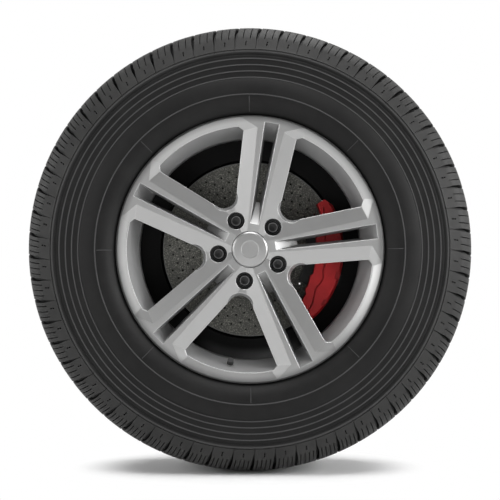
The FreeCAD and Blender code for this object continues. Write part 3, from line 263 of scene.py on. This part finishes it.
def bulge_round(end):
    """Radius of an arc that is upright at the bulge and ends at another point."""
    inward = end[0] - BULGE[0]
    rise = end[1] - BULGE[1]
    return (inward * inward + rise * rise) / (2 * inward)


half_line = np.vstack([
    BEAD,
    arc(FOOT, BULGE, bulge_round(FOOT), 60),
    arc(BULGE, STEP, bulge_round(STEP), 40)[1:],
    np.linspace(STEP, BLOCK_FOOT, 40)[1:],
    np.linspace(BLOCK_FOOT, SHOULDER, 30)[1:],
    arc(SHOULDER, CROWN_EDGE, SHOULDER_ROUND, 40)[1:],
    arc(CROWN_EDGE, APEX, CROWN_ROUND, 80)[1:],
])
section = np.vstack([half_line, half_line[-2::-1] * [-1.0, 1.0]])
steps = np.linalg.norm(np.diff(section, axis=0), axis=1)
along = np.concatenate([[0.0], np.cumsum(steps)])
slope = np.gradient(section, along, axis=0)
slope /= np.linalg.norm(slope, axis=1)[:, None]
outward = np.column_stack([-slope[:, 1], slope[:, 0]])
MIDDLE = along[-1] / 2
print("section length in mm:", round(along[-1], 1))

# %% [markdown]
# ## Rings with relief
# The tread and the sidewalls are grids: rows run round the tyre at places along the section, columns
# cross them. Each vertex is pushed in or out along the section's outward direction. Columns sit exactly
# on the edges of grooves and cuts, so a groove needs no dense mesh to be sharp.

# %% Rings with relief
SHARP_ANGLE = math.radians(32.0)


def at_radius(radius):
    """Place along the street half of the section at a radius."""
    wall = slice(len(BEAD), len(half_line))
    return np.interp(radius, section[wall, 1], along[wall])


def at_width(width):
    """Place along the section at a distance from the middle of the crown."""
    crown = section[:, 1] >= CROWN_EDGE[1]
    return np.interp(width, section[crown, 0], along[crown])


def relief_ring(name, rows, angles, offsets, raised):
    """A ring from rows along the section, with angles, offsets and painted heights by row and column."""
    width = np.interp(rows, along, section[:, 0])
    radius = np.interp(rows, along, section[:, 1])
    out_width = np.interp(rows, along, outward[:, 0])
    out_radius = np.interp(rows, along, outward[:, 1])
    far = radius[:, None] + out_radius[:, None] * offsets
    side = width[:, None] + out_width[:, None] * offsets
    points = np.stack([far * np.cos(angles), side, far * np.sin(angles)], axis=-1) * MM
    numbers = np.arange(angles.size).reshape(angles.shape)
    after = np.roll(numbers, -1, axis=1)
    faces = np.stack([numbers[:-1], after[:-1], after[1:], numbers[1:]], axis=-1).reshape(-1, 4)
    mesh = bpy.data.meshes.new(name)
    mesh.from_pydata(points.reshape(-1, 3).tolist(), [], faces.tolist())
    mesh.update()
    relief = mesh.attributes.new("relief", "FLOAT", "POINT")
    relief.data.foreach_set("value", raised.ravel().astype(np.float32))
    mesh.shade_smooth()
    mesh.set_sharp_from_angle(angle=SHARP_ANGLE)
    piece = bpy.data.objects.new(name, mesh)
    bpy.context.scene.collection.objects.link(piece)
    mesh.materials.append(RUBBER)
    return piece


print("ring helper ready")

# %% [markdown]
# ## Tread
# The shoulder carries one wide cross groove per pitch, which thins out towards the sidewall, and two to
# four fine cuts in each block. Four grooves run round the crown. Every block has a pair of small dots
# near its foot. Column tables are built pitch by pitch, because the number of fine cuts changes round
# the tyre. A column lies at a place across its cut, from -1 to 1, and is deep there or not.

# %% Columns of the tread
PITCHES = 61
GROOVE, CUT, DOT = range(3)
PROFILES = {
    GROOVE: ((-1, 0), (-0.55, 1), (0.55, 1), (1, 0)),
    CUT: ((-1, 0), (0, 1), (1, 0)),
    DOT: ((-1, 0), (-0.6, 1), (0.6, 1), (1, 0)),
}


def cuts_at(degrees):
    """Fine cuts in a block; the pitch sequence of a real tread varies to keep it quiet."""
    if 140.0 < degrees < 215.0:
        return 3
    if 215.0 <= degrees < 335.0:
        return 4 if int(degrees) % 3 else 3
    return 2


def cut_columns(spot, kind):
    """Columns of one cut at a spot that counts in pitches."""
    return [(spot, side, deep, kind) for side, deep in PROFILES[kind]]


columns = []
for pitch in range(PITCHES):
    cuts = cuts_at(360.0 / PITCHES * pitch)
    columns += cut_columns(pitch, GROOVE)
    for number in range(cuts):
        columns += cut_columns(pitch + (number + 1) / (cuts + 1), CUT)
    columns += cut_columns(pitch + (0.375 if cuts == 3 else 0.5), DOT)
spot_of, side_of, deep_of, kind_of = (np.array(values) for values in zip(*sorted(columns)))
start_angle = spot_of * 2 * math.pi / PITCHES
print("columns:", len(columns))

# %% [markdown]
# Rows follow: the foot of the blocks, the dots, the shoulder, and the ribs of the crown between the
# grooves that run round. The inner side of the tyre has the same rows as the street side.

# %% Rows of the tread
BLOCK_RADII = (317.0, 318.6, 320.6, 322.3, 324.5, 326.4, 327.3, 328.2, 330.0, 334.0)
DOT_RADII = (335.0, 335.5, 337.7, 338.2, 339.2, 339.7, 341.4, 341.9)
SHOULDER_RADII = (344.5, 346.5, 348.5, 351.0, 354.0, 357.0, 360.0, 363.0, 365.5, 367.5)
GROOVE_MIDDLES = np.array([-51.0, -17.0, 17.0, 51.0])
GROOVE_EDGE, GROOVE_FLOOR = 4.75, 3.0
RIB_MIDDLES = (-34.0, 0.0, 34.0)
RIB_ROW = 6.0
CROWN_END = 64.0

street_rows = [at_radius(radius) for radius in BLOCK_RADII + DOT_RADII + SHOULDER_RADII]
inner_rows = [2 * MIDDLE - row for row in street_rows]
widths = [-CROWN_END, CROWN_END]
for shift in (-GROOVE_EDGE, -GROOVE_FLOOR, GROOVE_FLOOR, GROOVE_EDGE):
    widths += [middle + shift for middle in GROOVE_MIDDLES]
for shift in (-RIB_ROW, RIB_ROW):
    widths += [middle + shift for middle in RIB_MIDDLES]
rows = np.array(sorted(street_rows + [at_width(width) for width in widths] + inner_rows))
near = np.minimum(rows, 2 * MIDDLE - rows)
row_width = np.interp(rows, along, section[:, 0])
row_radius = np.interp(rows, along, section[:, 1])
print("rows:", len(rows))

# %% [markdown]
# Depth and width of each kind of cut are numbers that depend on the row only. The cross grooves slant,
# and the slant goes on in the same sense over the crown to the inner side.

# %% Depths of the tread
RING_GROOVE_DEPTH = 7.4
FOOT_RELIEF = [0.0, -1.3, -1.3, 0.0, 0.5, 0.3, -1.3, 0.2, 0.0, 0.0]
DOT_DEPTH = 3.2
SLANT = (0.0, -1.4, -3.4)

gap = np.min(np.abs(row_width[:, None] - GROOVE_MIDDLES[None, :]), axis=1)
in_groove = (gap < (GROOVE_EDGE + GROOVE_FLOOR) / 2) & (row_radius >= CROWN_EDGE[1])
ring = np.where(in_groove, -RING_GROOVE_DEPTH, 0.0)
ring += np.interp(near, [at_radius(radius) for radius in BLOCK_RADII], FOOT_RELIEF)

foot = at_radius(BLOCK_RADII[5])
edge = at_radius(SHOULDER_RADII[-1])
groove_places = [foot, at_radius(338.0), at_radius(346.0), at_radius(351.0), edge, edge + 20]
groove_depth = np.interp(near, groove_places, [0.8, 2.0, 5.5, 7.2, 7.4, 5.0])
groove_half = np.interp(near, groove_places, [0.5, 0.8, 2.0, 2.7, 2.9, 1.4])
cut_depth = np.interp(near, [at_radius(346.5), at_radius(348.5), edge], [0.0, 4.0, 4.4])
dot_places = [at_radius(radius) for radius in DOT_RADII]
dot_depth = np.interp(near, dot_places, [0.0, DOT_DEPTH, DOT_DEPTH, 0.0] * 2)
for depth in (groove_depth, cut_depth):
    depth[in_groove] = 0.0
    depth[near < foot - 0.01] = 0.0
slant = np.interp(near, [foot, edge, MIDDLE], SLANT)
slant = np.radians(np.where(rows > MIDDLE, 2 * SLANT[-1] - slant, slant))
print("deepest cross groove in mm:", groove_depth.max())

# %% Tread
CUT_HALF = 0.75
DOT_HALF = 1.15

depth_of = np.stack([groove_depth, cut_depth, dot_depth])[kind_of].T
half_of = np.stack([groove_half, np.full(len(rows), CUT_HALF), np.full(len(rows), DOT_HALF)])[kind_of].T
angles = start_angle[None, :] + slant[:, None] + side_of[None, :] * half_of / row_radius[:, None]
offsets = ring[:, None] - depth_of * deep_of[None, :]
tread = relief_ring("tyre_tread", rows, angles, offsets, offsets)
print("tread triangles:", 2 * len(tread.data.polygons))

# %% [markdown]
# ## Sidewalls
# Thin raised lines run round the sidewall, eight fine mould lines cross its lower part, and the band
# above its step lies a little deeper. The real sidewall carries words and numbers; this one stays bare.
# Both sidewalls are one mesh function, because the inner side of a tyre has the same moulding.

# %% Sidewalls
WALL_RADII = (222.6, 317.4)
LINE_RADII = (253.2, 281.5, 291.9, 302.2, 312.6)
LINE_HALF, LINE_FOOT, LINE_HEIGHT = 0.7, 1.2, 0.7
MOULD_LINES = 8
MOULD_PROFILE = ((-0.0035, 0.0), (-0.0012, 0.45), (0.0012, 0.45), (0.0035, 0.0))
BAND_DEPTH = 0.6


def mould_lines():
    """Angles round the wall, and the height of the mould lines at each."""
    columns = [(math.radians(number), 0.0) for number in range(360)]
    for number in range(MOULD_LINES):
        middle = math.radians(360.0 / MOULD_LINES * number + 0.3)
        columns += [(middle + shift, height) for shift, height in MOULD_PROFILE]
    return np.array(sorted(columns)).T


def sidewall(name, street):
    radii = set(np.linspace(*WALL_RADII, 40).tolist()) | {STEP[1] - 0.5, STEP[1] + 0.5}
    for line in LINE_RADII:
        radii |= {line - LINE_FOOT, line - LINE_HALF, line + LINE_HALF, line + LINE_FOOT}
    places = np.concatenate([along[:len(BEAD)], [at_radius(radius) for radius in sorted(radii)]])
    radius = np.interp(places, along, section[:, 1])
    lines = np.zeros(len(places))
    for line in LINE_RADII:
        lines += np.interp(np.abs(radius - line), [LINE_HALF, LINE_FOOT], [LINE_HEIGHT, 0.0])
    band = [STEP[1] - 0.5, STEP[1] + 0.5, 290.0, WALL_RADII[1]]
    recess = np.interp(radius, band, [0.0, BAND_DEPTH, BAND_DEPTH, 0.0])
    low = np.interp(radius, [224.0, 226.0, 250.0, 252.0], [0.0, 1.0, 1.0, 0.0])
    turn, mould = mould_lines()
    raised = lines[:, None] + low[:, None] * mould[None, :]
    lift = raised - recess[:, None]
    grid = np.repeat(turn[None, :], len(places), axis=0)
    if street:
        return relief_ring(name, places, grid, lift, raised)
    return relief_ring(name, 2 * MIDDLE - places[::-1], grid, lift[::-1], raised[::-1])


walls = [sidewall("tyre_street_wall", True), sidewall("tyre_inner_wall", False)]
for piece in [tread] + walls:
    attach(piece, "wheel")
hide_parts("tyre")
print("sidewall triangles:", [2 * len(wall.data.polygons) for wall in walls])

# %% [markdown]
# ## Masks for the wheel
# The five lug bolts lie on a circle, so the wheel is folded into one fifth and one distance then serves
# all five. Walls that run along the axle and edges that are rounded are found by their normals.

# %% Masks for the wheel
BOLT_CIRCLE = 0.0525
FIRST_BOLT = math.radians(90.0 + 26.1)
FIFTH = 2 * math.pi / 5


def from_bolt(place):
    """Distance from the axis of the nearest lug bolt."""
    across, along_axle, up = parts_of(place)
    angle = up.math("ARCTAN2", up, across)
    folded = (angle - FIRST_BOLT + FIFTH / 2) % FIFTH - FIFTH / 2
    radius = length_of(across, up)
    out = radius * folded.math("COSINE", folded)
    aside = radius * folded.math("SINE", folded)
    return length_of(out - BOLT_CIRCLE, aside)


def slope_to_axle(place):
    """1 on faces across the axle, 0 on walls along it."""
    facing = place.add("ShaderNodeTexCoord", out="Normal")
    along_axle = parts_of(facing)[1]
    return along_axle.math("ABSOLUTE", along_axle)


def edge_highlight(place, rounded):
    """1 where a rounded edge turns away from its flat face, 0 elsewhere."""
    flat = place.add("ShaderNodeNewGeometry", out="True Normal")
    dot = {"operation": "DOT_PRODUCT"}
    likeness = place.add("ShaderNodeVectorMath", dot, {0: rounded, 1: flat}, out="Value")
    return soft_step(likeness, 0.998, 0.975)


print("bolt circle in mm:", BOLT_CIRCLE / MM)

# %% [markdown]
# ## Silver lacquer
# The wheel is cast aluminium under silver lacquer: tiny flakes make it metallic, and a clear coat adds a
# second, sharper shine. Sharp edges catch light, which a Bevel node gives without touching the solid.
# The same node tells how far an edge turns away from its flat face, and that paints a highlight on the
# edges, a painted highlight in a paler colour. The bolt recesses are left in black primer, and the one
# mask that darkens them round each bolt also paints shade into the deep recess. The walls of the windows
# and of the barrel are dull, because nobody polishes them, and their darker colour is painted shade.
# Where the rim meets the tyre, its outer edge is painted darker as painted shade.

# %% Silver lacquer
WALL_SLOPE = (0.62, 0.42)
RECESS_EDGE = (0.0146, 0.0141)
RECESS_MOUTH = (-0.0942, -0.0925)
RIM_SHADE_RADII = (0.2065, 0.2205)


def silver_lacquer(name, wheel):
    material, shader, place = finish(name, Metallic=0.85, Coat_Weight=0.25, Coat_Roughness=0.25)
    flakes = noise(place, 2600.0, 1.0)
    clouds = noise(place, 7.0, 3.0)
    dark, pale = grey(0.41, (1.0, 0.998, 0.99)), grey(0.49, (1.0, 1.0, 0.995))
    colour = blend(dark, pale, flakes * 0.5 + clouds * 0.5)
    rough = 0.30 + 0.12 * clouds
    round_edge = place.add("ShaderNodeBevel", {"samples": 6}, {"Radius": 0.0016})
    if wheel:
        # The walls are duller and rougher, and their darker colour is painted shade in the windows and
        # barrel.
        wall = soft_step(slope_to_axle(place), *WALL_SLOPE)
        colour = blend(colour, grey(0.28), wall)
        rough = rough + 0.25 * wall
        paint(shader, Metallic=0.85 - 0.60 * wall)
        along_axle = parts_of(place)[1]
        # The recesses are darkened round each bolt: black primer together with painted shade in the deep
        # recess.
        recess = soft_step(from_bolt(place), *RECESS_EDGE) * soft_step(along_axle, *RECESS_MOUTH)
        colour = blend(colour, grey(0.06), recess)
        # Painted shade: the rim's outer edge is painted darker towards the tyre.
        rim_shade = soft_step(from_axle(place), *RIM_SHADE_RADII)
        # Painted highlight: rounded edges are painted paler, less so where the rim's edge is painted
        # shade.
        colour = blend(colour, grey(0.85), edge_highlight(place, round_edge) * (0.55 - 0.55 * rim_shade))
        colour = blend(colour, grey(0.13), rim_shade * 0.8)
    paint(shader, Base_Color=colour, Roughness=rough, Normal=bumped(flakes, 0.04, 0.0002, round_edge))
    return material


dress(silver_lacquer("silver_lacquer", True), "alloy_wheel")
dress(silver_lacquer("cap_lacquer", False), "centre_cap")
print("wheel and cap lacquered")

# %% [markdown]
# ## Rubbed iron
# A brake disc is grey iron, polished in fine rings by the pads and flecked with rust and dust. Rings come
# from a noise that reads only the distance from the axle, flecks from a noise with a steep step, and a
# thin line of another grey marks the outer edge that the pads don't reach.

# %% Rubbed iron
DISC_EDGE = (0.1462, 0.1470)


def rubbed_iron():
    material, shader, place = finish("rubbed_iron", Metallic=0.55)
    radius = from_axle(place)
    rings = noise(radius.add("ShaderNodeCombineXYZ", None, {0: radius * 9.0}), 160.0, 2.0)
    flecks = noise(place, 420.0, 4.0, 0.7)
    speckle = soft_step(flecks, 0.5, 0.66)
    dark, pale = grey(0.065, (1.0, 1.0, 0.92)), grey(0.17, (1.0, 1.0, 0.90))
    colour = blend(dark, pale, rings * 0.3 + flecks * 0.7)
    colour = blend(colour, grey(0.50, (1.0, 0.99, 0.86)), speckle * 0.7)
    colour = blend(colour, grey(0.22), soft_step(radius, *DISC_EDGE) * 0.6)
    paint(shader, Base_Color=colour, Roughness=0.42 + 0.25 * flecks, Normal=bumped(flecks, 0.3, 0.0003))
    return material


dress(rubbed_iron(), "brake_disc")
print("disc dressed")

# %% [markdown]
# ## Red lacquer and black sheet
# The caliper is painted red over a cast skin, so the paint has a soft orange-peel, and brake dust dulls
# it in clouds. The shield behind is black sheet, painted near black so that it also stands for the shade
# behind the disc, and its lowest edge is painted grey as a painted pool of light from above.

# %% Red lacquer
def red_lacquer():
    plain = {"Specular_IOR_Level": 0.2, "Coat_Weight": 0.1, "Coat_Roughness": 0.2}
    material, shader, place = finish("red_lacquer", **plain)
    peel = noise(place, 240.0, 2.0)
    clouds = noise(place, 26.0, 4.0)
    clean, dusty = (0.34, 0.011, 0.013, 1.0), (0.27, 0.008, 0.010, 1.0)
    colour = blend(clean, dusty, soft_step(clouds, 0.4, 0.65))
    round_edge = place.add("ShaderNodeBevel", {"samples": 4}, {"Radius": 0.0015})
    normal = bumped(peel, 0.12, 0.0004, round_edge)
    paint(shader, Base_Color=colour, Roughness=0.38 + 0.2 * clouds, Normal=normal)
    return material


dress(red_lacquer(), "caliper_outer_half", "caliper_inner_half")
print("caliper lacquered")

# %% Black sheet
def black_sheet():
    material, shader, place = finish("black_sheet", Specular_IOR_Level=0.2)
    across, along_axle, up = parts_of(place)
    radius = length_of(across, up)
    dust = noise(place, 60.0, 5.0, 0.65)
    # The near-black sheet is a real black shield and also painted shade behind the disc.
    colour = blend(grey(0.004), grey(0.008), dust)
    # Painted light: the lowest edge is paler, as if lit from above.
    lit_bottom = soft_step(radius, 0.166, 0.190) * soft_step(up / radius, -0.86, -0.97)
    colour = blend(colour, grey(0.20), lit_bottom * (0.7 + 0.3 * dust))
    paint(shader, Base_Color=colour, Roughness=0.55 + 0.25 * dust, Normal=bumped(dust, 0.15, 0.0005))
    return material


dress(black_sheet(), "dust_shield")
print("shield dressed")

# %% [markdown]
# ## Lug bolts
# The bolts are blackened. The distance that found the recesses finds the bolts too, so one ring of
# paler colour round the bolt's own axis is a painted highlight on the rim of the head.

# %% Lug bolts
def bolt_black():
    material, shader, place = finish("bolt_black", Metallic=0.5)
    away = from_bolt(place)
    clouds = noise(place, 90.0, 3.0)
    # Painted highlight: a paler ring on the rim of the head.
    head_highlight = soft_step(away, 0.0062, 0.0068) * soft_step(away, 0.0086, 0.0078)
    colour = blend(grey(0.045), grey(0.075), clouds)
    colour = blend(colour, grey(0.24), head_highlight * (0.6 + 0.4 * clouds))
    paint(shader, Base_Color=colour, Roughness=0.38 + 0.2 * clouds)
    return material


dress(bolt_black(), "lug_bolts")
print("lug bolts dressed")

# %% [markdown]
# ## Plain metals, rubber and plastic
# The small pieces share six finishes. Each one mixes two near colours by a noise and changes its
# roughness with the same noise, because handling and plating are never even.

# %% Small pieces
def worn(name, dark, light, scale, metallic, rough, grain):
    material, shader, place = finish(name, Metallic=metallic)
    clouds = noise(place, scale, 4.0, 0.6)
    fine = noise(place, scale * 18.0, 2.0)
    colour = blend(dark, light, soft_step(clouds * 0.7 + fine * 0.3, 0.35, 0.68))
    paint(shader, Base_Color=colour, Roughness=rough + 0.2 * clouds, Normal=bumped(fine, grain, 0.0003))
    return material


blackened = worn("blackened_steel", grey(0.018), grey(0.045),
                 scale=60.0, metallic=0.7, rough=0.36, grain=0.1)
dress(blackened, "disc_screw", "bearing_circlip", "bridge_bolts", "outer_pad_plate", "inner_pad_plate")
zinc = worn("zinc_plate", grey(0.42, (1.0, 0.99, 0.94)), grey(0.58),
            scale=45.0, metallic=0.9, rough=0.32, grain=0.08)
dress(zinc, "balance_weights", "grease_cap", "thrust_washer", "axle_nut", "shield_screws",
      "caliper_bolts", "bleed_screws")
ground = worn("ground_steel", grey(0.5), grey(0.64),
              scale=80.0, metallic=1.0, rough=0.22, grain=0.05)
dress(ground, "bearing_outer_ring", "bearing_inner_ring", "stub_axle", "pad_pins",
      "outer_pistons", "inner_pistons")
cast = worn("cast_iron_skin", grey(0.05, (1.0, 0.93, 0.85)), grey(0.10, (1.0, 0.94, 0.88)),
            scale=35.0, metallic=0.5, rough=0.55, grain=0.5)
dress(cast, "wheel_hub", "hub_carrier")
pressed = worn("pressed_lining", grey(0.03), grey(0.09, (1.0, 0.95, 0.88)),
               scale=220.0, metallic=0.0, rough=0.75, grain=0.6)
dress(pressed, "outer_pad_lining", "inner_pad_lining")
soft = worn("soft_rubber", grey(0.018), grey(0.03),
            scale=50.0, metallic=0.0, rough=0.55, grain=0.15)
dress(soft, "valve_stem", "valve_cap", "bleed_caps")
print("dressed all", len(NODES), "nodes")

# %% [markdown]
# ## Studio
# The photograph shows the wheel standing on white paper, with a short soft shadow under it. A large pale
# sheet is the floor and a wall of the same paper closes the view. Both are white for the eye and for
# reflections, except that the floor near the wheel stays ordinary paper, so that it keeps the shadow.

# %% Paper
SHADOW_HALF = (0.29, 0.20)
SHADOW_EDGE = (0.62, 1.05)
SEEING_RAYS = ("Is Camera Ray", "Is Glossy Ray", "Is Transmission Ray")
WHITE = grey(1.0)


def paper(name, wall):
    material, shader, place = finish(name, Roughness=0.9, Specular_IOR_Level=0.1)
    paint(shader, Base_Color=blend(grey(0.80), grey(0.83), noise(place, 30.0, 3.0)))
    across, deep_in, up = parts_of(place)
    away = length_of(across / SHADOW_HALF[0], deep_in / SHADOW_HALF[1])
    path = place.tree.nodes.new("ShaderNodeLightPath")
    eye, gloss, glass = [Wire(path.outputs[ray]) for ray in SEEING_RAYS]
    seen = eye + gloss + glass
    amount = seen if wall else seen * soft_step(away, *SHADOW_EDGE)
    glow = place.add("ShaderNodeEmission", None, {"Color": WHITE, "Strength": 1.0})
    mixed = place.add("ShaderNodeMixShader", None, {0: amount, 1: Wire(shader.outputs[0]), 2: glow})
    place.feed(place.tree.nodes["Material Output"].inputs["Surface"], mixed)
    return material


def sheet_of_paper(name, corners, material):
    mesh = bpy.data.meshes.new(name)
    mesh.from_pydata(corners, [], [tuple(range(len(corners)))])
    mesh.materials.append(material)
    piece = bpy.data.objects.new(name, mesh)
    bpy.context.scene.collection.objects.link(piece)


LEFT, RIGHT, FRONT, BACK = -7.0, 7.0, -6.0, 3.2
FLOOR, TOP = -0.3722, 5.0
floor_front = [(LEFT, FRONT, FLOOR), (RIGHT, FRONT, FLOOR)]
floor_back = [(RIGHT, BACK, FLOOR), (LEFT, BACK, FLOOR)]
wall_top = [(RIGHT, BACK, TOP), (LEFT, BACK, TOP)]
sheet_of_paper("floor", floor_front + floor_back, paper("floor_paper", False))
sheet_of_paper("wall", floor_back[::-1] + wall_top, paper("wall_paper", True))
print("floor at", FLOOR)

# %% [markdown]
# ## Light
# Soft light from above lights the tread and leaves the shadow under the tyre. A weak sheet of light
# behind the camera fills the front, and two lamps on each side shape the spokes, the sidewall and the
# edges of the tread. The room itself is dim, but brighter to the left, and the metal reflects it. For
# the eye the room is white like the paper, which gives the object no more light.

# %% Light
def lamp(name, place, target, size, watts):
    data = bpy.data.lights.new(name, "AREA")
    data.shape = "RECTANGLE"
    data.size, data.size_y = size
    data.energy = watts
    thing = bpy.data.objects.new(name, data)
    thing.location = place
    aim = Vector(target) - Vector(place)
    thing.rotation_euler = aim.to_track_quat("-Z", "Y").to_euler()
    bpy.context.scene.collection.objects.link(thing)


AXLE = (0.0, 0.0, 0.0)
lamp("overhead", (0.35, -0.25, 2.4), (0.0, -0.1, 0.0), (2.8, 1.6), 85.0)
lamp("behind_camera", (0.0, -4.6, 0.9), AXLE, (3.2, 2.4), 6.0)
lamp("right_side", (2.4, -1.3, 0.7), AXLE, (1.4, 1.6), 38.0)
lamp("right_edge", (2.6, -0.35, 0.7), AXLE, (1.0, 1.4), 40.0)
lamp("left_front", (-2.2, -2.6, 0.2), AXLE, (1.0, 2.2), 27.0)
lamp("left_side", (-2.6, -0.15, 0.7), AXLE, (1.0, 1.4), 32.0)

# %% Room
ROOM_LEVEL, LEFT_LEVEL = 0.08, 0.25

world = bpy.data.worlds.new("room")
world.use_nodes = True
bpy.context.scene.world = world
backdrop = world.node_tree.nodes["Background"]
direction = Wire(world.node_tree.nodes.new("ShaderNodeTexCoord").outputs["Generated"])
level = ROOM_LEVEL + LEFT_LEVEL * soft_step(parts_of(direction)[0], -0.4, -0.7)
eye = Wire(world.node_tree.nodes.new("ShaderNodeLightPath").outputs["Is Camera Ray"])
room = blend(blend(grey(0.0), WHITE, level), WHITE, eye)
direction.feed(backdrop.inputs["Color"], room)
backdrop.inputs["Strength"].default_value = 1.0
print("room:", world.name)

# %% [markdown]
# ## Camera
# The wheel is seen straight from the front through a long lens, level with the axle.

# %% Camera
view = bpy.data.cameras.new("front_view")
view.sensor_width = 36.0
view.lens = 100.5
camera = bpy.data.objects.new("front_view", view)
camera.location = (0.0, -2.39, 0.0)
camera.rotation_euler = (math.radians(90.0), 0.0, 0.0)
view.shift_y = -0.0012
bpy.context.scene.collection.objects.link(camera)
bpy.context.scene.camera = camera
bpy.context.scene.view_settings.view_transform = "Standard"
print("camera at", tuple(camera.location))

# %% Sizes as plain numbers
def plain(box):
    return [[float(value) for value in corner] for corner in box]
